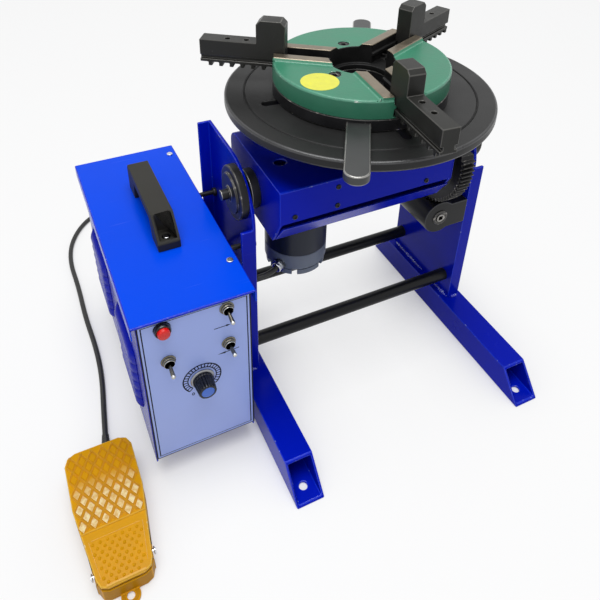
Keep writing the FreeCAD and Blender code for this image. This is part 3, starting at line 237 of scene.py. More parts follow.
# The two side plates: one steel sheet each with its edges folded out, standing
# on the feet and joined to them by short hand-laid welds whose ripples show
# under the enamel. Same blue coat as the feet.
def closed_tube(work, rings):
    """Walls from each ring of corners to the next, and a face over each end."""
    count = len(rings[0])
    for one, two in zip(rings, rings[1:]):
        for k in range(count):
            after = (k + 1) % count
            work.faces.new((one[k], one[after], two[after], two[k]))
    work.faces.new(list(reversed(rings[0])))
    work.faces.new(rings[-1])


def ring(work, middle, across, other, reach, sides):
    """Corners round a circle about middle, in the plane of across and other."""
    corners = []
    for k in range(sides):
        turn = 2 * math.pi * k / sides
        offset = across * math.cos(turn) + other * math.sin(turn)
        corners.append(work.verts.new(middle + offset * reach))
    return corners


def mesh_from(work, name, crisp=34):
    """The finished mesh, its faces outwards; with crisp set to None its facets stay flat."""
    bmesh.ops.recalc_face_normals(work, faces=work.faces)
    mesh = bpy.data.meshes.new(name)
    work.to_mesh(mesh)
    work.free()
    if crisp is not None:
        smooth(mesh, crisp)
    return mesh


def piece_from(work, name, material, crisp=34):
    """The finished mesh as a piece of the scene."""
    return show(name, mesh_from(work, name, crisp), material)


def bead(name, runs, radius, material):
    """A hand-laid weld: a rippled half-round cord along each straight run of points."""
    ripples_apart = 0.0026
    work = bmesh.new()
    for number, (start, end) in enumerate(runs):
        start = Vector(start)
        end = Vector(end)
        along = (end - start).normalized()
        across = along.orthogonal().normalized()
        other = along.cross(across)
        count = max(4, int((end - start).length / ripples_apart * 4))
        rings = []
        for step in range(count + 1):
            part = step / count
            ripple = 1.0 + 0.26 * abs(math.sin(part * count * math.pi / 4)) - 0.13
            swell = 1.0 + 0.14 * math.sin(part * 9.0 + number * 2.1)
            close = min(1.0, 0.35 + 6 * min(part, 1 - part))
            rings.append(ring(work, start.lerp(end, part), across, other,
                              radius * ripple * swell * close, sides=8))
        closed_tube(work, rings)
    return piece_from(work, name, material, crisp=70)


# The pale chips on the weld are painted glints off its ripples.
weld = surface("weld_under_enamel", (6, 34, 190), rough=0.12, patch=0.25, patch_scale=90,
               grain=0.35, grain_scale=900, coat=0.9, chips=(150, 168, 226), chip_from=0.57,
               chip_scale=260)
plate_inside = 0.1528
plate_outside = 0.1575
foot_top = 0.0405
fold_seam_z = 0.0408
for side, way in (("left", -1), ("right", 1)):
    rounded(f"{side}_side_plate", "stand", "blue", 0.0011, blue, blue_edge_highlight_and_wear)
    seams = []
    for near, far in ((-0.004, 0.046), (0.060, 0.134)):
        seams.append(((way * plate_inside, near, foot_top), (way * plate_inside, far, foot_top)))
        seams.append(((way * plate_outside, near + 0.006, foot_top),
                      (way * plate_outside, far - 0.006, foot_top)))
    for end_y in (-0.0075, 0.1385):
        seams.append(((way * 0.156, end_y, fold_seam_z), (way * 0.169, end_y, fold_seam_z)))
    carried(bead(f"{side}_foot_welds", seams, 0.0028, weld), "stand", "blue")


# Two round tie tubes hold the side plates apart. Cold-drawn tube, brushed with
# satin black and welded to the plates.
black = surface("satin_black", (14, 15, 17), rough=0.36, patch=0.20, patch_scale=22, grain=0.20,
                grain_scale=520, scratch=0.10, mirror=0.25)
# A lighter satin black for the bevels: a painted highlight along the edges, with chips of wear.
black_edge_highlight_and_wear = surface("satin_black_edge_highlight_and_wear", (46, 47, 50), rough=0.36, patch=0.20, patch_scale=40,
                     grain=0.2, chips=(120, 118, 114), chip_from=0.66, chip_scale=170)
for where in ("front", "rear"):
    rounded(f"{where}_tie_tube", "stand", "black_paint", 0.0008, black, black_edge_highlight_and_wear)


# Bearing flanges on the side plates, with the stub of the tilt axle and its
# retaining ring standing out of each. Turned from bar, blackened on the outside.
oxide = surface("black_oxide", (34, 34, 36), metal=0.3, rough=0.38, patch=0.22, patch_scale=30,
                grain=0.16, grain_scale=900, scratch=0.08, mirror=0.3)
# On the bevels this lighter oxide paints a highlight along the edges; its chips are wear.
oxide_edge = surface("black_oxide_edge", (70, 69, 67), metal=0.5, rough=0.34, patch=0.20,
                     patch_scale=60, grain=0.16, grain_scale=900, chips=(160, 156, 150),
                     chip_from=0.56, chip_scale=150)
steel = surface("turned_steel", (150, 148, 144), metal=1.0, rough=0.32, patch=0.12,
                patch_scale=45, grain=0.10, grain_scale=1500, scratch=0.25)
for side in ("left", "right"):
    rounded(f"{side}_bearing_flange", "stand", "black_paint", 0.0009, oxide, oxide_edge)
# The trunnion's bevels take bright turned steel: a painted highlight round the rim of the stub.
rounded("left_trunnion", "tilt_head", "bare_steel", 0.0009, oxide, steel)
rounded("trunnion_rings", "tilt_head", "blackened_steel", 0.0003, oxide, oxide_edge)


# The worm that tilts the head lies across the right plate in its own barrel: a
# cast housing in satin black, and a steel shaft with a square socket for the crank.
rounded("worm_housing", "stand", "black_paint", 0.0012, black, black_edge_highlight_and_wear)
rounded("worm_shaft", "worm", "bare_steel", 0.0003, steel, steps=1)


# The pressed-in bushing that the worm's front end turns in, and the head of the
# bolt that holds the barrel's foot on the inside of the right plate. Both are
# turned from bar and blacked.
def lathe(name, profile, origin, axis, material, turns=48, flute=None):
    """A piece turned about the line from origin along axis. The profile is a list of (radius,
    distance along the axis) and flute is (count, depth, from, to) for grooves down its side,
    with their lengths in millimetres."""
    mm = 0.001
    axis = Vector(axis).normalized()
    across = axis.orthogonal().normalized()
    other = axis.cross(across)
    work = bmesh.new()
    rings = []
    for radius, out in profile:
        middle = Vector(origin) + axis * (out * mm)
        if radius == 0:
            rings.append([work.verts.new(middle)])
            continue
        corners = []
        for k in range(turns):
            turn = 2 * math.pi * k / turns
            reach = radius
            if flute is not None and flute[2] <= out <= flute[3]:
                reach = radius - flute[1] * (0.5 + 0.5 * math.cos(turn * flute[0])) ** 3
            offset = across * math.cos(turn) + other * math.sin(turn)
            corners.append(work.verts.new(middle + offset * (reach * mm)))
        rings.append(corners)
    pairs = list(zip(rings, rings[1:]))
    if len(rings[0]) > 1 and len(rings[-1]) > 1:
        pairs.append((rings[-1], rings[0]))
    for one, two in pairs:
        for k in range(turns):
            after = (k + 1) % turns
            if len(one) == 1:
                work.faces.new((one[0], two[k], two[after]))
            elif len(two) == 1:
                work.faces.new((one[k], two[0], one[after]))
            else:
                work.faces.new((one[k], two[k], two[after], one[after]))
    return piece_from(work, name, material, crisp=40)


to_front = (0, -1, 0)
bushing = lathe("worm_bushing", [
    (6.4, 0), (11, 0), (11, 0.9), (10.5, 1.3), (9.5, 1.3), (9.1, 0.7), (7, 0.7), (6.4, 0.7)],
    (0.110, -0.008, 0.207), to_front, oxide_edge)
carried(bushing, "stand", "blackened_steel")
bolt = lathe("plate_bolt", [(0, -1), (3.2, -1), (3.2, 4), (2.6, 4.8), (0, 4.9)],
             (0.153, 0.094, 0.155), (-1, 0, 0), oxide, turns=6)
carried(bolt, "stand", "blackened_steel")


# The tilting head: a folded box of blue sheet with the tray let into its
# underside, screwed along the skirt, and the toothed sector bolted to one end.
# Inside, a cast block holds the table spindle in two bearings.
rounded("tilt_housing", "tilt_head", "blue", 0.0013, blue, blue_edge_highlight_and_wear)
rounded("housing_tray", "tilt_head", "blue", 0.0008, blue, blue_edge_highlight_and_wear)
rounded("tilt_sector", "tilt_head", "blackened_steel", 0.0004, oxide, oxide_edge, steps=1)
rounded("spindle_block", "tilt_head", "black_paint", 0.0010, black, black_edge_highlight_and_wear)
skirt_screw = [(0, -6), (2, -6), (2, 0.1), (3.1, 0.1), (3.1, 0.8), (2.5, 1.4), (1.5, 1.5),
               (1.5, 0.6), (0, 0.4)]
skirt_y = -0.041
screw_places = ((-0.121, 0.305), (-0.069, 0.305), (0.050, 0.305), (-0.069, 0.330))
for number, (x, z) in enumerate(screw_places, 1):
    screw = lathe(f"housing_screw_{number}", skirt_screw, (x, skirt_y, z), to_front, oxide,
                  turns=24)
    carried(screw, "tilt_head", "blackened_steel")
    if number == 1:
        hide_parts("housing_screws")
rounded("spindle_bearings", "tilt_head", "bare_steel", 0.0004, steel)


# The gearmotor that turns the table hangs under the head: a barrel with a dark
# wrap, and a grey cast end cap with a rounded rim.
barrel = surface("motor_barrel", (24, 31, 46), rough=0.34, patch=0.12, patch_scale=18, grain=0.08,
                 grain_scale=600, scratch=0.05, mirror=0.3)
casting = surface("motor_casting", (100, 110, 128), rough=0.42, patch_scale=26, grain=0.35,
                  grain_scale=1100, scratch=0.05)
zinc = surface("bright_zinc", (205, 207, 212), metal=1.0, rough=0.20, patch=0.08, patch_scale=60,
               grain=0.08, grain_scale=1300, scratch=0.20)
rounded("gearmotor", "tilt_head", "motor_black", 0.0010, barrel)
rounded("motor_end_cap", "tilt_head", "motor_grey", 0.0010, casting, steps=3)
gland_metal = surface("gland_nickel", (190, 192, 196), metal=1.0, rough=0.22, patch=0.08,
                      patch_scale=60, grain=0.08, grain_scale=1300, scratch=0.10)
motor_x = -0.084
motor_y = 0.033
lug_section = ((0.0371, 0.1862), (0.0371, 0.1794), (0.0364, 0.1786), (0.0326, 0.1786),
               (0.0322, 0.1862))
work = bmesh.new()
for number in range(6):
    sections = []
    for step in range(9):
        turn = math.radians(9 + 60 * number + 49 * step / 8)
        section = []
        for reach, height in lug_section:
            section.append(work.verts.new((motor_x + reach * math.cos(turn),
                                           motor_y + reach * math.sin(turn), height)))
        sections.append(section)
    closed_tube(work, sections)
carried(piece_from(work, "motor_cap_lugs", casting), "tilt_head", "motor_grey")
thread_pitch = 1.6
ridges = [(4.6, -2)]
for step in range(4):
    for radius, height in ((7.9, -0.2), (7.9, 0.5), (6.5, 0.7), (6.5, 1.2)):
        ridges.append((radius, height + thread_pitch * step))
ridges += [(6.8, 6.4), (6.8, 7.2), (5.8, 7.6), (6.4, 8.2), (6.4, 8.9), (5.6, 10), (3.7, 10),
           (3.7, 4)]
sleeve = lathe("motor_gland_threads", ridges, (-0.1151, 0.0112, 0.193), (-0.8192, -0.5736, 0),
               gland_metal)
carried(sleeve, "tilt_head", "zinc_hardware", "motor_gland")


# The table: a thick disc faced on the lathe and chemically blacked, with turned
# rings, one groove and four slots for clamp bolts, on its hollow geared spindle.
table_x = -0.006
table_y = 0.033


def turned(material, pitch, depth):
    """Adds the fine rings that a lathe tool leaves round the table's centre."""
    tree = material.node_tree
    where = tree.nodes["Texture Coordinate"].outputs["Object"]
    split = add(tree, "ShaderNodeSeparateXYZ", {"Vector": where}).outputs
    flat = add(tree, "ShaderNodeCombineXYZ", {"X": split["X"], "Y": split["Y"]})
    away = add(tree, "ShaderNodeVectorMath", {
        0: flat.outputs["Vector"], 1: (table_x, table_y, 0)}, operation="DISTANCE")
    count = reckon(tree, "MULTIPLY", away.outputs["Value"], 1.0 / pitch)
    rings = add(tree, "ShaderNodeTexNoise", {"W": count, "Scale": 1.0, "Detail": 4.0},
                noise_dimensions="1D")
    marks = add(tree, "ShaderNodeBump", {
        "Strength": depth, "Distance": 0.0003, "Height": rings.outputs["Fac"],
        "Normal": tree.nodes["Grain"].outputs["Normal"]})
    feed(tree.nodes["Principled BSDF"], {"Normal": marks.outputs["Normal"]})


def from_centre(face):
    """How far a face lies from the table's axis."""
    return math.hypot(face.center.x - table_x, face.center.y - table_y)


plate_black = surface("blacked_plate", (38, 38, 38), metal=0.15, rough=0.42, patch=0.14,
                      patch_scale=12, grain_scale=1000, scratch=0.06, mirror=0.25)
turned(plate_black, 0.0008, 0.22)
# Only the outer rim's bevels take this lighter blacking, a painted highlight along the rim with
# chips of wear; bevels inside the rim keep the plate's finish.
rim_highlight_and_wear = surface("blacked_rim_highlight_and_wear", (72, 72, 73), metal=0.5, rough=0.30, patch=0.20, patch_scale=30,
                   chips=(120, 119, 116), chip_from=0.64, chip_scale=90)
disc = rounded("turntable", "table", "blackened_steel", 0.0012, plate_black, rim_highlight_and_wear)
inside_the_rim = 0.150
for face in disc.data.polygons:
    if from_centre(face) < inside_the_rim:
        face.material_index = 0
rounded("table_spindle", "table", "bare_steel", 0.0006, steel)
rounded("spindle_gear", "table", "bare_steel", 0.0003, steel, steps=1)
rounded("drive_pinion", "pinion", "bare_steel", 0.0003, steel, steps=1)


# The chuck: a green enamelled casting with three machined ways for the jaws.
# The tops of the ways are ground bright; three cap screws hold it to its adapter.
green = surface("green_enamel", (56, 128, 100), rough=0.34, patch=0.09, patch_scale=20,
                grain=0.35, grain_scale=330, scratch=0.07, mirror=0.35)
# A lighter green for the bevels: a painted highlight along the edges, with chips of wear.
green_edge_highlight_and_wear = surface("green_enamel_edge_highlight_and_wear", (84, 148, 122), rough=0.28, patch=0.15, patch_scale=40,
                     grain=0.3, mirror=0.4, chips=(205, 215, 205), chip_scale=110)
ground = surface("ground_way", (132, 122, 106), metal=0.75, rough=0.34, patch=0.18,
                 patch_scale=60, grain_scale=1400, scratch=0.35)
rounded("chuck_adapter", "table", "blackened_steel", 0.0010, oxide, oxide_edge)
chuck = rounded("chuck_body", "table", "green_enamel", 0.0010, green, green_edge_highlight_and_wear)
# The walls and floors of the ways and the bore take a near-black finish: painted shade in these
# recesses.
bore_painted_shade = surface("bore_painted_shade", (26, 26, 26), metal=0.2, rough=0.45, patch=0.2, patch_scale=60,
                     grain=0.2, grain_scale=900, mirror=0.3)
chuck.data.materials.append(ground)
chuck.data.materials.append(bore_painted_shade)
rail_top_z = 0.4412
way_floor_z = 0.4376
bore_edge_z = 0.4405
for face in chuck.data.polygons:
    if face.center.z > rail_top_z:
        face.material_index = 2
    elif face.center.z < way_floor_z and from_centre(face) < 0.0965:
        face.material_index = 3
    elif face.center.z < bore_edge_z and from_centre(face) < 0.0440:
        face.material_index = 3
rounded("chuck_screws", "table", "blackened_steel", 0.0005, oxide, oxide_edge)


# A round yellow paper label, left blank, stuck on the chuck beside one way. It
# has been pressed down unevenly, so its varnish catches the light in patches.
label_turn = math.radians(204.5)
label_away = 0.0755
label_z = 0.4384
label_thickness = 0.00018
work = bmesh.new()
rims = []
for height in (label_z, label_z + label_thickness):
    centre = Vector((table_x + label_away * math.cos(label_turn),
                     table_y + label_away * math.sin(label_turn), height))
    rims.append(ring(work, centre, Vector((1, 0, 0)), Vector((0, 1, 0)), 0.0205, sides=72))
closed_tube(work, rims)
paper = surface("label_paper", (224, 222, 62), rough=0.34, patch=0.06, patch_scale=120,
                grain_scale=300, scratch=0.05, coat=0.2)
carried(piece_from(work, "blank_label", paper, crisp=None), "table", "green_enamel")


# The scroll ring under the body opens and closes the jaws; two flat bars stand
# out of it as hand levers. Plain steel bar, dark from handling.
bar_steel = surface("bar_steel", (72, 73, 73), metal=0.6, rough=0.38, patch=0.12, patch_scale=18,
                    grain=0.10, grain_scale=900, scratch=0.20)
# A lighter steel for the bevels of the levers: a painted highlight along their edges.
bar_edge_highlight = surface("bar_steel_edge_highlight", (150, 149, 146), metal=0.8, rough=0.30, patch=0.2,
                   patch_scale=50, grain=0.1)
rounded("scroll_ring", "scroll", "blackened_steel", 0.0008, oxide, oxide_edge)
rounded("scroll_handles", "scroll", "bare_steel", 0.0014, bar_steel, bar_edge_highlight, steps=3)


# Three jaws: stepped blocks with a rack cut in the underside, milled all over, hardened and
# blacked, their edges chipped by work being dropped between them. Their bevels take a lighter
# oxide, a painted highlight along the edges.
jaw_black = surface("jaw_oxide", (46, 46, 44), metal=0.15, rough=0.40, patch=0.14, patch_scale=34,
                    grain=0.15, grain_scale=1100, scratch=0.12, mirror=0.2)
jaw_edge_highlight_and_wear = surface("jaw_oxide_edge_highlight_and_wear", (78, 77, 74), metal=0.5, rough=0.34, patch=0.2,
                   patch_scale=60, chips=(150, 147, 140), chip_from=0.66, chip_scale=130)
for number, letter in ((1, "a"), (2, "b"), (3, "c")):
    rounded(f"jaw_{number}", f"jaw_{letter}", "blackened_steel", 0.0008, jaw_black, jaw_edge_highlight_and_wear)


# The control box: a folded shell in the same blue enamel, and a lid whose skirts drop over it, held
# by pan-head screws. The lid's enamel has the marks of use, and is a lighter blue than the shell:
# painted glare.
lid_blue_painted_glare = surface("lid_enamel_painted_glare", (0, 76, 236), rough=0.22, patch=0.04, patch_scale=5, grain=0.05,
                   grain_scale=300, scratch=0.08, mirror=0.10)
rounded("control_box_shell", "stand", "blue", 0.0010, blue, blue_edge_highlight_and_wear)
rounded("control_box_lid", "stand", "blue", 0.0014, lid_blue_painted_glare, blue_edge_highlight_and_wear, steps=3)
rounded("box_screws", "stand", "zinc_hardware", 0.0008, zinc)
rounded("box_hangers", "stand", "blackened_steel", 0.0005, oxide, oxide_edge)
hanger_nuts = [(2.8, 0), (5.2, 0), (5.6, 0.5), (5.6, 4), (5.2, 4.5), (3.1, 4.5), (3.1, 26),
               (5.2, 26), (5.6, 26.5), (5.6, 29.9), (5.2, 30.4), (2.8, 30.4)]
hanger_places = ((0.008, 0.243), (0.122, 0.243), (0.008, 0.090), (0.122, 0.090))
for number, (y, z) in enumerate(hanger_places, 1):
    pair = lathe(f"hanger_nuts_{number}", hanger_nuts, (-0.1874, y, z), (1, 0, 0), oxide,
                 turns=24)
    carried(pair, "stand", "blackened_steel")
    if number == 1:
        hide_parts("box_spacers")


# Louvres on the outer side of the box: two banks of six, each one a hood pressed
# out of the sheet over its slot, open downwards so that drips stay out.
def point_tree():
    """Sets one shape on every point of a mesh, turned as the point's attribute says."""
    tree = bpy.data.node_groups.new("shape_on_points", "GeometryNodeTree")
    for name, way, kind in (("Points", "INPUT", "Geometry"), ("Shape", "INPUT", "Object"),
                            ("Size", "INPUT", "Float"), ("Spread", "INPUT", "Float"),
                            ("Seed", "INPUT", "Int"), ("Finish", "INPUT", "Material"),
                            ("Mesh", "OUTPUT", "Geometry")):
        tree.interface.new_socket(name, in_out=way, socket_type="NodeSocket" + kind)
    given = add(tree, "NodeGroupInput", {}).outputs
    shape = add(tree, "GeometryNodeObjectInfo", {
        "Object": given["Shape"], "As Instance": True}, transform_space="ORIGINAL")
    turn = add(tree, "GeometryNodeInputNamedAttribute", {"Name": "turn"},
               data_type="FLOAT_VECTOR")
    rotation = add(tree, "FunctionNodeEulerToRotation", {"Euler": turn.outputs["Attribute"]})
    vary = add(tree, "FunctionNodeRandomValue", {
        "Min": reckon(tree, "SUBTRACT", 1.0, given["Spread"]),
        "Max": reckon(tree, "ADD", 1.0, given["Spread"]), "Seed": given["Seed"]},
        data_type="FLOAT")
    shapes = add(tree, "GeometryNodeInstanceOnPoints", {
        "Points": given["Points"], "Instance": shape.outputs["Geometry"],
        "Rotation": rotation.outputs["Rotation"],
        "Scale": reckon(tree, "MULTIPLY", vary.outputs["Value"], given["Size"])})
    real = add(tree, "GeometryNodeRealizeInstances", {"Geometry": shapes.outputs["Instances"]})
    finish = add(tree, "GeometryNodeSetMaterial", {
        "Geometry": real.outputs["Geometry"], "Material": given["Finish"]})
    add(tree, "NodeGroupOutput", {"Mesh": finish.outputs["Geometry"]})
    return tree


shapes_on_points = point_tree()


def repeat(name, shape_mesh, places, turns, material, spread=0.0):
    """One plain mesh holding the shape at each place, each turned by its own angles."""
    points = bpy.data.meshes.new(name + "_points")
    points.from_pydata(places, [], [])
    turn = points.attributes.new("turn", "FLOAT_VECTOR", "POINT")
    for number, angles in enumerate(turns):
        turn.data[number].vector = angles
    holder = placed(name + "_points", points)
    shape = placed(name + "_shape", shape_mesh)
    modifier = holder.modifiers.new("shapes", "NODES")
    modifier.node_group = shapes_on_points
    values = {"Shape": shape, "Size": 1.0, "Spread": spread, "Seed": 7, "Finish": material}
    for item in shapes_on_points.interface.items_tree:
        if item.name in values:
            modifier[item.identifier] = values[item.name]
    mesh = baked(holder)
    mesh.name = name
    bpy.data.objects.remove(shape)
    if "turn" in mesh.attributes:
        mesh.attributes.remove(mesh.attributes["turn"])
    return show(name, mesh, material)


hood_length = 0.090
hood_depth = 0.0056
hood_end = 0.010
hood_curl = math.radians(112)
work = bmesh.new()
hood_rows = []
for step in range(29):
    part = step / 28
    along = (part - 0.5) * hood_length
    end_gap = min(part, 1 - part) * hood_length
    rise = 1.0 if end_gap > hood_end else math.sin(end_gap / hood_end * math.pi / 2)
    row = []
    for level in range(9):
        angle = level / 8 * hood_curl
        height = 0.0105 - 0.0125 * (1 - math.cos(angle)) / (1 - math.cos(hood_curl))
        row.append(work.verts.new((-hood_depth * rise * math.sin(angle), along, height)))
    hood_rows.append(row)
for one, two in zip(hood_rows, hood_rows[1:]):
    for level in range(8):
        work.faces.new((one[level], one[level + 1], two[level + 1], two[level]))
bmesh.ops.recalc_face_normals(work, faces=work.faces)
bmesh.ops.solidify(work, geom=work.faces[:], thickness=0.0009)
louvre_x = -0.3094
lowest_louvre = 0.088
louvres_apart = 0.0145
louvre_places = []
for bank_y in (0.007, 0.159):
    for row in range(6):
        louvre_places.append((louvre_x, bank_y, lowest_louvre + louvres_apart * row))
louvres = repeat("box_louvres", mesh_from(work, "louvre_hood", crisp=50), louvre_places,
                 [(0, 0, 0)] * len(louvre_places), blue)
carried(louvres, "stand", "blue")


# The front panel: sheet with a pale printed film over it. Printed on the film are
# a thin dark line round the edge, the ring scale of the speed dial and two arrows.
film = surface("panel_film", (168, 188, 252), rough=0.30, patch=0.03, patch_scale=8, grain=0.08,
               grain_scale=1500, scratch=0.04)
ink = surface("printing_ink", (6, 9, 40), rough=0.40, patch_scale=80, grain=0.08,
              grain_scale=1500, mirror=0.15)
rounded("front_panel", "stand", "pale_panel", 0.0004, film)
work = bmesh.new()
print_front = -0.07612
print_back = -0.07602
mitre = 1.414


def stroke(points, width, closed=False):
    """A flat printed line through points given as (x, z) on the panel's face."""
    count = len(points)
    sections = []
    for number, point in enumerate(points):
        before = points[(number - 1) % count] if closed or number > 0 else point
        after = points[(number + 1) % count] if closed or number < count - 1 else point
        way = Vector((after[0] - before[0], after[1] - before[1])).normalized()
        side = Vector((-way.y, way.x)) * width / 2
        if closed and count < 8:
            side = side * mitre
        section = []
        for sign, y in ((1, print_front), (1, print_back), (-1, print_back), (-1, print_front)):
            section.append(work.verts.new((point[0] + side.x * sign, y, point[1] + side.y * sign)))
        sections.append(section)
    if closed:
        sections.append(sections[0])
    for one, two in zip(sections, sections[1:]):
        for k in range(4):
            work.faces.new((one[k], one[(k + 1) % 4], two[(k + 1) % 4], two[k]))
    if not closed:
        work.faces.new(list(reversed(sections[0])))
        work.faces.new(sections[-1])


def round_the_dial(reach, turn):
    """The point (x, z) on the panel this far from the dial's middle."""
    return (dial_x + reach * math.cos(turn), dial_z + reach * math.sin(turn))


for left, right, low, high, width in ((-0.3045, -0.1925, 0.0395, 0.2493, 0.0010),
                                      (-0.3081, -0.1889, 0.0359, 0.2511, 0.0014)):
    stroke([(left, low), (right, low), (right, high), (left, high)], width, closed=True)
dial_x = -0.2475
dial_z = 0.1477
dial_start = -46
dial_sweep = 271
scale_inner = 0.0162
scale_outer = 0.0215
for reach, width in ((scale_outer, 0.0015), (scale_inner, 0.0012)):
    arc = []
    for step in range(73):
        arc.append(round_the_dial(reach, math.radians(dial_start + dial_sweep * step / 72)))
    stroke(arc, width)
for step in range(25):
    turn = math.radians(dial_start + dial_sweep * step / 24)
    stroke([round_the_dial(scale_inner, turn), round_the_dial(scale_outer, turn)], 0.0011)
zero = []
for step in range(20):
    turn = 2 * math.pi * step / 20
    zero.append((-0.2590 + 0.0012 * math.cos(turn), 0.1265 + 0.0018 * math.sin(turn)))
stroke(zero, 0.0009, closed=True)
stroke([(-0.2301, 0.2159), (-0.2140, 0.2159)], 0.0009)
stroke([(-0.2034, 0.1762), (-0.2200, 0.1758)], 0.0009)
for tip, tail in (((-0.2115, 0.2159), (-0.2165, 0.2159)), ((-0.2278, 0.1756), (-0.2190, 0.1756))):
    faces = []
    for y in (print_front, print_back):
        faces.append([work.verts.new((tip[0], y, tip[1])),
                      work.verts.new((tail[0], y, tail[1] + 0.0013)),
                      work.verts.new((tail[0], y, tail[1] - 0.0013))])
    closed_tube(work, faces)
carried(piece_from(work, "panel_print", ink, crisp=None), "stand", "pale_panel")


# Set in the panel: a red push button in a deep black collar, and three toggles,
# each a chromed bat lever in a stepped bushing clamped by a knurled ring nut.
gloss_black = surface("gloss_black", (16, 16, 18), rough=0.22, patch_scale=40, grain=0.08,
                      grain_scale=900, scratch=0.05)
red = surface("button_red", (226, 26, 18), rough=0.26, patch=0.06, patch_scale=60, grain=0.06,
              grain_scale=900, scratch=0.03)
panel_face = -0.076
button_place = (-0.2835, panel_face, 0.241)
collar = lathe("button_collar", [
    (6.8, -4), (7.8, -4), (7.8, 0), (8.6, 0), (8.8, 0.5), (8.6, 4.8), (8.2, 5.6), (7.4, 5.8),
    (6.8, 5.2)],
    button_place, to_front, gloss_black)
carried(collar, "stand", "bezel_black", "button_bezel")
press = lathe("button_cap", [
    (0, 0.5), (6.5, 0.5), (6.5, 8.8), (6.2, 9.6), (5.4, 10.1), (3, 10.4), (0, 10.5)],
    button_place, to_front, red)
carried(press, "button", "button_red", "power_button")
nickel = surface("worn_nickel", (116, 112, 100), metal=1.0, rough=0.24, patch=0.15,
                 patch_scale=90, grain=0.10, grain_scale=1200, scratch=0.15)
# A lighter nickel for the bevels of the toggles: a painted highlight.
nickel_highlight = surface("worn_nickel_highlight", (188, 188, 184), metal=1.0, rough=0.20, patch_scale=90,
                      grain=0.10, grain_scale=1200)
rounded("toggle_bases", "stand", "lever_chrome", 0.0004, nickel, nickel_highlight)
ring_nut = [(5.85, 0), (7.7, 0), (8, 0.3), (8, 0.9), (7.4, 1.3), (6.9, 1.4), (6.9, 3.2),
            (6.4, 3.8), (5.85, 4)]
lever_tip_y = -0.0935
for number, letter, x, z in ((1, "a", -0.215, 0.2415), (2, "b", -0.215, 0.1895),
                             (3, "c", -0.2815, 0.1925)):
    lever = rounded(f"toggle_lever_{number}", f"toggle_{letter}", "lever_chrome", 0.0002, nickel,
                    nickel_highlight, steps=1)
    # The tip of each lever takes the lighter nickel: a painted highlight on its bulb.
    for face in lever.data.polygons:
        if face.center.y < lever_tip_y:
            face.material_index = 1
    nut = lathe(f"toggle_nut_{number}", ring_nut, (x, panel_face, z), to_front, nickel, turns=72,
                flute=(24, 0.5, 1.4, 3.3))
    carried(nut, "stand", "lever_chrome")


# The speed knob: a fluted black moulding with a blue cap let into its face, over
# a spun metal skirt. It is pushed on to the shaft of the control behind the panel.
knob_body = surface("knob_black", (12, 15, 26), rough=0.28, patch_scale=40, grain=0.10,
                    grain_scale=900, mirror=0.35)
knob_cap = surface("knob_cap", (62, 112, 214), rough=0.36, patch=0.06, patch_scale=60, grain=0.15,
                   grain_scale=1200)
skirt_metal = surface("skirt_metal", (150, 151, 154), metal=0.9, rough=0.34, patch=0.08,
                      patch_scale=50, grain_scale=1200, scratch=0.25)
knob_place = (-0.2475, panel_face, 0.1475)
knob = lathe("speed_knob_body", [
    (4.6, 4.6), (4.6, 2.8), (10.8, 2.8), (11.6, 3.4), (11.6, 5), (11.2, 5.8), (11.1, 7),
    (10.7, 12), (10.2, 17), (10, 19.6), (9.4, 20.6), (8, 20.9), (7.4, 20.9), (7.3, 19.9),
    (0, 19.9)],
    knob_place, to_front, knob_body, turns=144, flute=(18, 1.0, 5.7, 19.7))
carried(knob, "knob", "knob_blue", "speed_knob")
cap = lathe("speed_knob_cap", [
    (0, 20), (7.2, 20), (7.2, 20.7), (6.6, 21), (4, 21.2), (0, 21.25)],
    knob_place, to_front, knob_cap)
carried(cap, "knob", "knob_blue")
skirt = lathe("speed_knob_skirt", [
    (5.2, 1.2), (13.2, 0.8), (13.6, 1), (13.6, 1.6), (13.1, 2.1), (11.8, 2.7), (5.2, 2.7)],
    knob_place, to_front, skirt_metal)
carried(skirt, "knob", "zinc_hardware")


# Carrying handle: moulded black nylon with a faint grain, a screw pocket let into
# each end, bolted through the lid.
nylon = surface("black_nylon", (46, 45, 41), rough=0.50, patch_scale=16, grain=0.40,
                grain_scale=1300, scratch=0.04, mirror=0.2)
rounded("carry_handle", "stand", "handle_black", 0.0013, nylon, steps=3)


# Inside the box: the speed control behind the dial, the soldered control board,
# and the power supply in its pressed cover. In the walls of the box, the glands of
# the two cords and the mains inlet, moulded in black plastic.
board = surface("solder_mask", (20, 88, 48), rough=0.40, patch=0.12, patch_scale=70, grain=0.2,
                grain_scale=900)
cover = surface("pressed_cover", (168, 170, 172), metal=0.9, rough=0.38, patch=0.08,
                patch_scale=30, grain_scale=1200, scratch=0.2)
rounded("speed_control", "stand", "bezel_black", 0.0004, gloss_black)
rounded("control_board", "stand", "board_green", 0.0003, board)
rounded("power_supply", "stand", "supply_metal", 0.0006, cover)
rounded("cable_glands", "stand", "cable_black", 0.0006, gloss_black)
rounded("mains_inlet", "stand", "bezel_black", 0.0006, gloss_black)


# The foot pedal's base: a die-cast trough in yellow enamel with an anchor ear,
# the steel pin of the tread with a spring clip on each end, and a sealed switch.
yellow = surface("pedal_enamel", (219, 156, 2), rough=0.40, patch=0.08, patch_scale=24,
                 grain=0.40, grain_scale=380, scratch=0.05, mirror=0.12)
# The base takes a darker copy of the pedal's yellow, painted shade on its walls, and the plate's
# lighter yellow on its bevels, a painted highlight.
base_yellow_painted_shade = surface("pedal_base_enamel_painted_shade", (186, 130, 6), rough=0.42, patch=0.08, patch_scale=24,
                      grain=0.40, grain_scale=380, mirror=0.12)
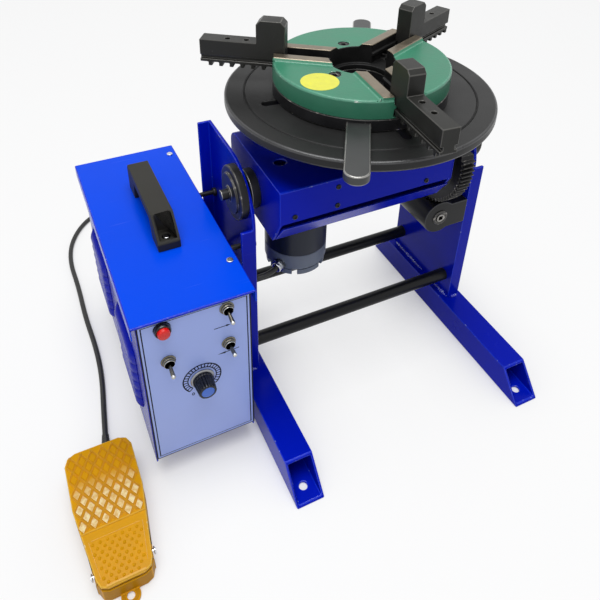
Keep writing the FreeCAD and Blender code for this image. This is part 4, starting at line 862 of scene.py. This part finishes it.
# A lighter yellow for the tread's bevels: a painted highlight along the edges, with chips of wear.
yellow_edge_highlight_and_wear = surface("pedal_enamel_edge_highlight_and_wear", (234, 184, 62), rough=0.36, patch_scale=40, grain=0.3,
                      mirror=0.2, chips=(240, 222, 176), chip_from=0.60, chip_scale=150)
rounded("pedal_base", "stand", "pedal_yellow", 0.0012, base_yellow_painted_shade, yellow)
rounded("pedal_pin", "stand", "zinc_hardware", 0.0003, zinc)
rounded("pedal_switch", "stand", "bezel_black", 0.0004, gloss_black)
pedal_x = -0.3693
for side, way in (("left", -1), ("right", 1)):
    work = bmesh.new()
    loops = []
    for step in range(27):
        turn = math.radians(-40 + 290 * step / 26)
        outward = Vector((0, math.cos(turn), math.sin(turn)))
        middle = Vector((pedal_x + way * 0.0322, -0.164, 0.0205)) + outward * 0.0034
        loops.append(ring(work, middle, outward, Vector((1, 0, 0)), 0.0008, sides=8))
    closed_tube(work, loops)
    clip = piece_from(work, f"pedal_pin_clip_{side}", zinc, crisp=60)
    carried(clip, "stand", "zinc_hardware")


# The tread: a die-cast plate hinged on the pin. Its far part carries raised
# diamond pads between crossing ribs, rubbed pale by shoes; the near part, past a
# cross rib, is dotted with small studs inside a thin frame.
rounded("pedal_plate", "pedal", "pedal_yellow", 0.0011, yellow, yellow_edge_highlight_and_wear)
far_end_y = -0.030
far_end_z = 0.038
fold_y = -0.129
fold_z = 0.040
slope = 0.002 / 0.099
fall = 0.013 / 0.054


def tread_height(y):
    """The height of the tread's top face at y: nearly level, then falling past the fold."""
    if y > fold_y:
        return far_end_z + (far_end_y - y) * slope
    return fold_z - (fold_y - y) * fall


far_half = 0.038
near_half = 0.0285
far_corner = 0.013
near_corner = 0.010
taper_from = -0.098
taper_to = -0.173


def tread_half(y):
    """Half the tread's width at y: even, then tapering, with rounded corners."""
    if y > far_end_y - far_corner:
        past = min(1.0, (y - far_end_y + far_corner) / far_corner)
        return far_half - far_corner * (1 - math.sqrt(max(0.0, 1 - past * past)))
    if y > taper_from:
        return far_half
    if y > taper_to:
        return far_half - (far_half - near_half) * (taper_from - y) / (taper_from - taper_to)
    past = min(1.0, (taper_to - y) / near_corner)
    return near_half - near_corner * (1 - math.sqrt(max(0.0, 1 - past * past)))


pad_x = -0.0068
pad_y = -0.1210
pad_pitch = 0.0119
pad_rows_apart = 0.0096
pad_mesh = bpy.data.meshes.new("tread_pad")
pad_mesh.from_pydata(
    [(0.0049, 0, 0), (0, 0.0078, 0), (-0.0049, 0, 0), (0, -0.0078, 0), (0.0040, 0, 0.0010),
     (0, 0.0065, 0.0010), (-0.0040, 0, 0.0010), (0, -0.0065, 0.0010)], [],
    [(0, 1, 5, 4), (1, 2, 6, 5), (2, 3, 7, 6), (3, 0, 4, 7), (4, 5, 6, 7), (3, 2, 1, 0)])
pad_places = []
for row in range(10):
    y = pad_y + pad_rows_apart * row
    for column in range(-4, 5):
        x = pad_x + row % 2 * pad_pitch / 2 + pad_pitch * column
        edge = tread_half(min(-0.0305, y + 0.006))
        if abs(x) + 0.0040 < edge and y < -0.0385:
            pad_places.append((x + pedal_x, y, tread_height(y) - 0.0002))
pad_look = surface("tread_pads", (214, 151, 2), rough=0.40, patch=0.08, patch_scale=24, grain=0.5,
                   grain_scale=500, mirror=0.12)
tree = pad_look.node_tree
shader = tree.nodes["Principled BSDF"]
where = tree.nodes["Texture Coordinate"].outputs["Object"]
facing = add(tree, "ShaderNodeNewGeometry", {}).outputs["Normal"]
upward = add(tree, "ShaderNodeSeparateXYZ", {"Vector": facing}).outputs["Z"]
along = add(tree, "ShaderNodeSeparateXYZ", {"Vector": where}).outputs["Y"]
rub_from_y = -0.068
rub_full_y = -0.096
underfoot = reckon(tree, "MULTIPLY", ranged(tree, upward, 0.90, 0.97),
                   ranged(tree, along, rub_from_y, rub_full_y, 0.0, 0.95))
bitten = ranged(tree, noise(tree, where, 260.0, 5.0), 0.30, 0.62, 0.25)
rubbed = covered(tree, reckon(tree, "MULTIPLY", underfoot, bitten),
                 shader.inputs["Base Color"].links[0].from_socket, linear(250, 232, 178))
feed(shader, {"Base Color": rubbed})
pads = repeat("tread_pads", pad_mesh, pad_places, [(-math.atan(slope), 0, 0)] * len(pad_places),
              pad_look, spread=0.03)
carried(pads, "pedal", "pedal_yellow")

work = bmesh.new()
bmesh.ops.create_cone(work, cap_ends=True, segments=8, radius1=0.0022, radius2=0.0010,
                      depth=0.0019)
stud_pitch = 0.0076
stud_rows_apart = 0.0046
stud_places = []
for row in range(9):
    y = -0.1415 - stud_rows_apart * row
    for column in range(-4, 5):
        x = row % 2 * stud_pitch / 2 - stud_pitch / 4 + stud_pitch * column
        if abs(x) < tread_half(y) - 0.0065:
            stud_places.append((x + pedal_x, y, tread_height(y) + 0.0004))
studs = repeat("tread_studs", mesh_from(work, "tread_stud", crisp=60), stud_places,
               [(math.atan(fall), 0, 0)] * len(stud_places), yellow, spread=0.08)
carried(studs, "pedal", "pedal_yellow")

work = bmesh.new()


def rib(start, end, width, height):
    """A low ridge on the tread from start to end, given as (x from the middle, y)."""
    way = (Vector(end) - Vector(start)).normalized()
    side = Vector((-way.y, way.x)) * width
    sections = []
    for point in (Vector(start), Vector(end)):
        section = []
        for offset, rise in ((-0.5, -0.0002), (-0.28, height), (0.28, height), (0.5, -0.0002)):
            spot = point + side * offset
            section.append(work.verts.new((spot.x + pedal_x, spot.y,
                                           tread_height(spot.y) + rise)))
        sections.append(section)
    closed_tube(work, sections)


lanes = (-0.00072, 0.00072)
rim_gap = 0.0016
for sign in (-1, 1):
    crossing = Vector((sign * pad_pitch / 2, pad_rows_apart))
    for number in range(-12, 14):
        base = Vector((pad_x + pad_pitch * (number + 0.5), pad_y))
        for lane in lanes:
            inside = []
            for step in range(-40, 140):
                spot = base + crossing * step / 8
                spot.x += lane
                if -0.1262 < spot.y < -0.0330 and abs(spot.x) < tread_half(spot.y) - rim_gap:
                    inside.append(spot)
            if len(inside) > 6:
                rib(inside[0], inside[-1], 0.0008, 0.0009)
rib((-0.0335, -0.1285), (0.0335, -0.1285), 0.0022, 0.0009)
rib((-0.0255, -0.1375), (0.0255, -0.1375), 0.0008, 0.0004)
rib((-0.0200, -0.1812), (0.0200, -0.1812), 0.0030, 0.0012)
for sign in (-1, 1):
    rib((sign * 0.0280, -0.1375), (sign * 0.0235, -0.1740), 0.0008, 0.0004)
# The ribs are a lighter yellow than the tread: painted highlights along their crests.
rib_yellow_highlight = surface("tread_rib_enamel_highlight", (222, 166, 40), rough=0.34, patch=0.08, patch_scale=40,
                     grain=0.3, mirror=0.3)
carried(piece_from(work, "tread_ribs", rib_yellow_highlight, crisp=None), "pedal", "pedal_yellow")


# The tread's return spring: music wire coiled between the base and the tread.
spring_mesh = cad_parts["pedal_spring"].data.copy()
merged(spring_mesh)
smooth(spring_mesh, 50)
spring = show("pedal_spring_wire", spring_mesh, zinc)
carried(spring, "stand", "zinc_hardware", "pedal_spring")
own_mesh(spring)


# The pedal lead: a round rubber-sheathed cord that runs back over the floor to
# the rear of the control box, its spare length lying in a coil behind the box.
rubber = surface("cord_rubber", (30, 30, 29), rough=0.50, patch_scale=30, grain=0.25,
                 grain_scale=900)


def cord_curve(name, points, radius, material):
    """A round cord through these points, as a curve with a round section."""
    data = bpy.data.curves.new(name, "CURVE")
    data.dimensions = "3D"
    data.bevel_depth = radius
    data.bevel_resolution = 4
    data.resolution_u = 8
    data.use_fill_caps = radius > 0
    line = data.splines.new("NURBS")
    line.points.add(len(points) - 1)
    for point, place in zip(line.points, points):
        point.co = (place[0], place[1], place[2], 1.0)
    line.order_u = 3
    line.use_endpoint_u = True
    data.materials.append(material)
    return placed(name, data)


cord_radius = 0.0035
on_floor = 0.0036
lead_route = [(-0.361, -0.031, 0.012)]
for x, y in ((-0.353, 0.032), (-0.343, 0.095), (-0.341, 0.150), (-0.3445, 0.215),
             (-0.343, 0.285), (-0.346, 0.350), (-0.335, 0.403), (-0.303, 0.452),
             (-0.258, 0.474), (-0.214, 0.460), (-0.199, 0.412), (-0.200, 0.350)):
    lead_route.append((x, y, on_floor))
coil_x = -0.240
coil_y = 0.350
coil_radius = 0.040
coil_rise = 0.0076
for step in range(1, 37):
    turn = -2 * math.pi * step / 12
    lead_route.append((coil_x + coil_radius * math.cos(turn), coil_y + coil_radius * math.sin(turn),
                       on_floor + coil_rise * step / 12))
lead_route += [(-0.2005, 0.320, 0.0294), (-0.204, 0.292, 0.0404), (-0.210, 0.266, 0.056),
               (-0.210, 0.234, 0.056)]
lead = cord_curve("pedal_lead", lead_route, cord_radius, rubber)
carried(lead, "stand", "cable_black", "pedal_cable", "pedal_cable_coil")


# The sleeve that keeps the lead from kinking where it leaves the pedal: soft
# rubber, ribbed, tapering along the cord.
work = bmesh.new()
boot_start = Vector(lead_route[0])
boot_way = (Vector(lead_route[1]) - boot_start).normalized()
boot_side = boot_way.cross(Vector((0, 0, 1))).normalized()
boot_up = boot_side.cross(boot_way)
loops = []
for step in range(41):
    part = step / 40
    reach = 0.0062 - 0.0020 * part
    if step % 5 in (3, 4) and 4 < step < 38:
        reach = reach - 0.0007
    middle = boot_start + boot_way * (0.0024 + 0.030 * part)
    loops.append(ring(work, middle, boot_side, boot_up, reach, sides=24))
closed_tube(work, loops)
boot = carried(piece_from(work, "lead_boot", rubber, crisp=50), "stand", "cable_black")


# The motor lead: from the gland in the motor's end cap through a hole in the left
# plate, down in a slack loop behind it, and up to the gland in the box's side.
motor_route = [(-0.1200, 0.0078, 0.1930), (-0.1348, -0.0026, 0.1930), (-0.168, 0.0068, 0.189),
               (-0.173, 0.015, 0.165), (-0.172, 0.028, 0.125), (-0.172, 0.042, 0.088),
               (-0.172, 0.064, 0.072), (-0.172, 0.086, 0.084), (-0.171, 0.099, 0.116),
               (-0.1685, 0.109, 0.146), (-0.168, 0.112, 0.170), (-0.1915, 0.112, 0.170)]
tube_mesh = baked(cord_curve("motor_lead_draft", motor_route, cord_radius, rubber))
line_mesh = baked(cord_curve("motor_lead_line", motor_route, 0.0, rubber))
motor_line = [tuple(corner.co) for corner in line_mesh.vertices]
merged(tube_mesh)
smooth(tube_mesh, 60)
motor_lead = show("motor_lead", tube_mesh, rubber)
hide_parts("motor_cable")
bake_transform(motor_lead)
motor_length = 0.0
for one, two in zip(motor_line, motor_line[1:]):
    motor_length = motor_length + (Vector(two) - Vector(one)).length


# The floor and the light: a pale floor that keeps a faint shadow, a large soft
# lamp overhead and a weaker one in front, and a low even surround.
def background_rays(tree, share):
    """A share for the rays that see a background: straight, mirrored or let through."""
    ray = add(tree, "ShaderNodeLightPath", {}).outputs
    seen = reckon(tree, "MAXIMUM", ray["Is Camera Ray"], ray["Is Glossy Ray"])
    seen = reckon(tree, "MAXIMUM", seen, ray["Is Transmission Ray"])
    return reckon(tree, "MULTIPLY", seen, share)


floor_look = bpy.data.materials.new("floor")
floor_look.use_nodes = True
tree = floor_look.node_tree
shaded = tree.nodes["Principled BSDF"]
feed(shaded, {"Base Color": (0.90, 0.90, 0.91, 1), "Roughness": 0.9})
white = add(tree, "ShaderNodeEmission", {"Color": (1, 1, 1, 1), "Strength": 1.0})
# Near the object the floor's white share is cut by ambient occlusion: painted contact shade, which
# also darkens the holes.
painted_contact_shade = add(tree, "ShaderNodeAmbientOcclusion", {"Distance": 0.10}, samples=8)
open_floor = reckon(tree, "MULTIPLY", background_rays(tree, 0.86), painted_contact_shade.outputs["AO"])
lit_floor = add(tree, "ShaderNodeMixShader", {
    "Fac": open_floor, 1: shaded.outputs["BSDF"], 2: white.outputs["Emission"]})
feed(tree.nodes["Material Output"], {"Surface": lit_floor.outputs["Shader"]})
floor_mesh = bpy.data.meshes.new("floor")
floor_mesh.from_pydata([(-4, -4, 0), (4, -4, 0), (4, 4, 0), (-4, 4, 0)], [], [(0, 1, 2, 3)])
floor = show("floor", floor_mesh, floor_look)
floor.location.z = -0.0005

world = bpy.data.worlds.new("studio")
world.use_nodes = True
bpy.context.scene.world = world
tree = world.node_tree
ambient = tree.nodes["Background"]
feed(ambient, {"Color": (0.95, 0.97, 1.0, 1.0), "Strength": 0.22})
seen = add(tree, "ShaderNodeBackground", {"Color": (1, 1, 1, 1), "Strength": 1.0})
choose = add(tree, "ShaderNodeMixShader", {
    "Fac": background_rays(tree, 1.0), 1: ambient.outputs["Background"],
    2: seen.outputs["Background"]})
feed(tree.nodes["World Output"], {"Surface": choose.outputs["Shader"]})


def lamp(name, place, aim, width, power):
    """A square soft lamp at place, pointing at aim."""
    data = bpy.data.lights.new(name, "AREA")
    data.shape = "RECTANGLE"
    data.size = width
    data.size_y = width
    data.energy = power
    obj = placed(name, data)
    obj.location = place
    obj.rotation_euler = (Vector(aim) - Vector(place)).to_track_quat("-Z", "Y").to_euler()


lamp("overhead", (-0.3, -0.2, 2.4), (-0.05, 0.05, 0.25), 1.6, 44)
lamp("front_fill", (-1.2, -2.0, 1.5), (-0.05, 0.0, 0.25), 1.4, 6.5)


# The camera stands at the height and angle of a person in front of the bench,
# looking down on the control box corner.
eye = Vector((-0.35955, -0.53054, 0.73102))
azimuth = math.radians(-26.2)
elevation = math.radians(32.77)
roll = math.radians(1.27)
back = Vector((math.sin(azimuth) * math.cos(elevation),
               -math.cos(azimuth) * math.cos(elevation), math.sin(elevation)))
right = (-back).cross(Vector((0, 0, 1))).normalized()
up = right.cross(-back)
right_rolled = right * math.cos(roll) + up * math.sin(roll)
up_rolled = up * math.cos(roll) - right * math.sin(roll)
camera_data = bpy.data.cameras.new("camera")
camera_data.lens = 38.29
camera_data.sensor_width = 36
camera_data.shift_x = 0.0027
camera_data.shift_y = -0.236
camera = placed("camera", camera_data)
axes = Matrix((right_rolled, up_rolled, back)).transposed()
camera.matrix_world = Matrix.Translation(eye) @ axes.to_4x4()
bpy.context.scene.camera = camera
bpy.context.scene.view_settings.view_transform = "Standard"
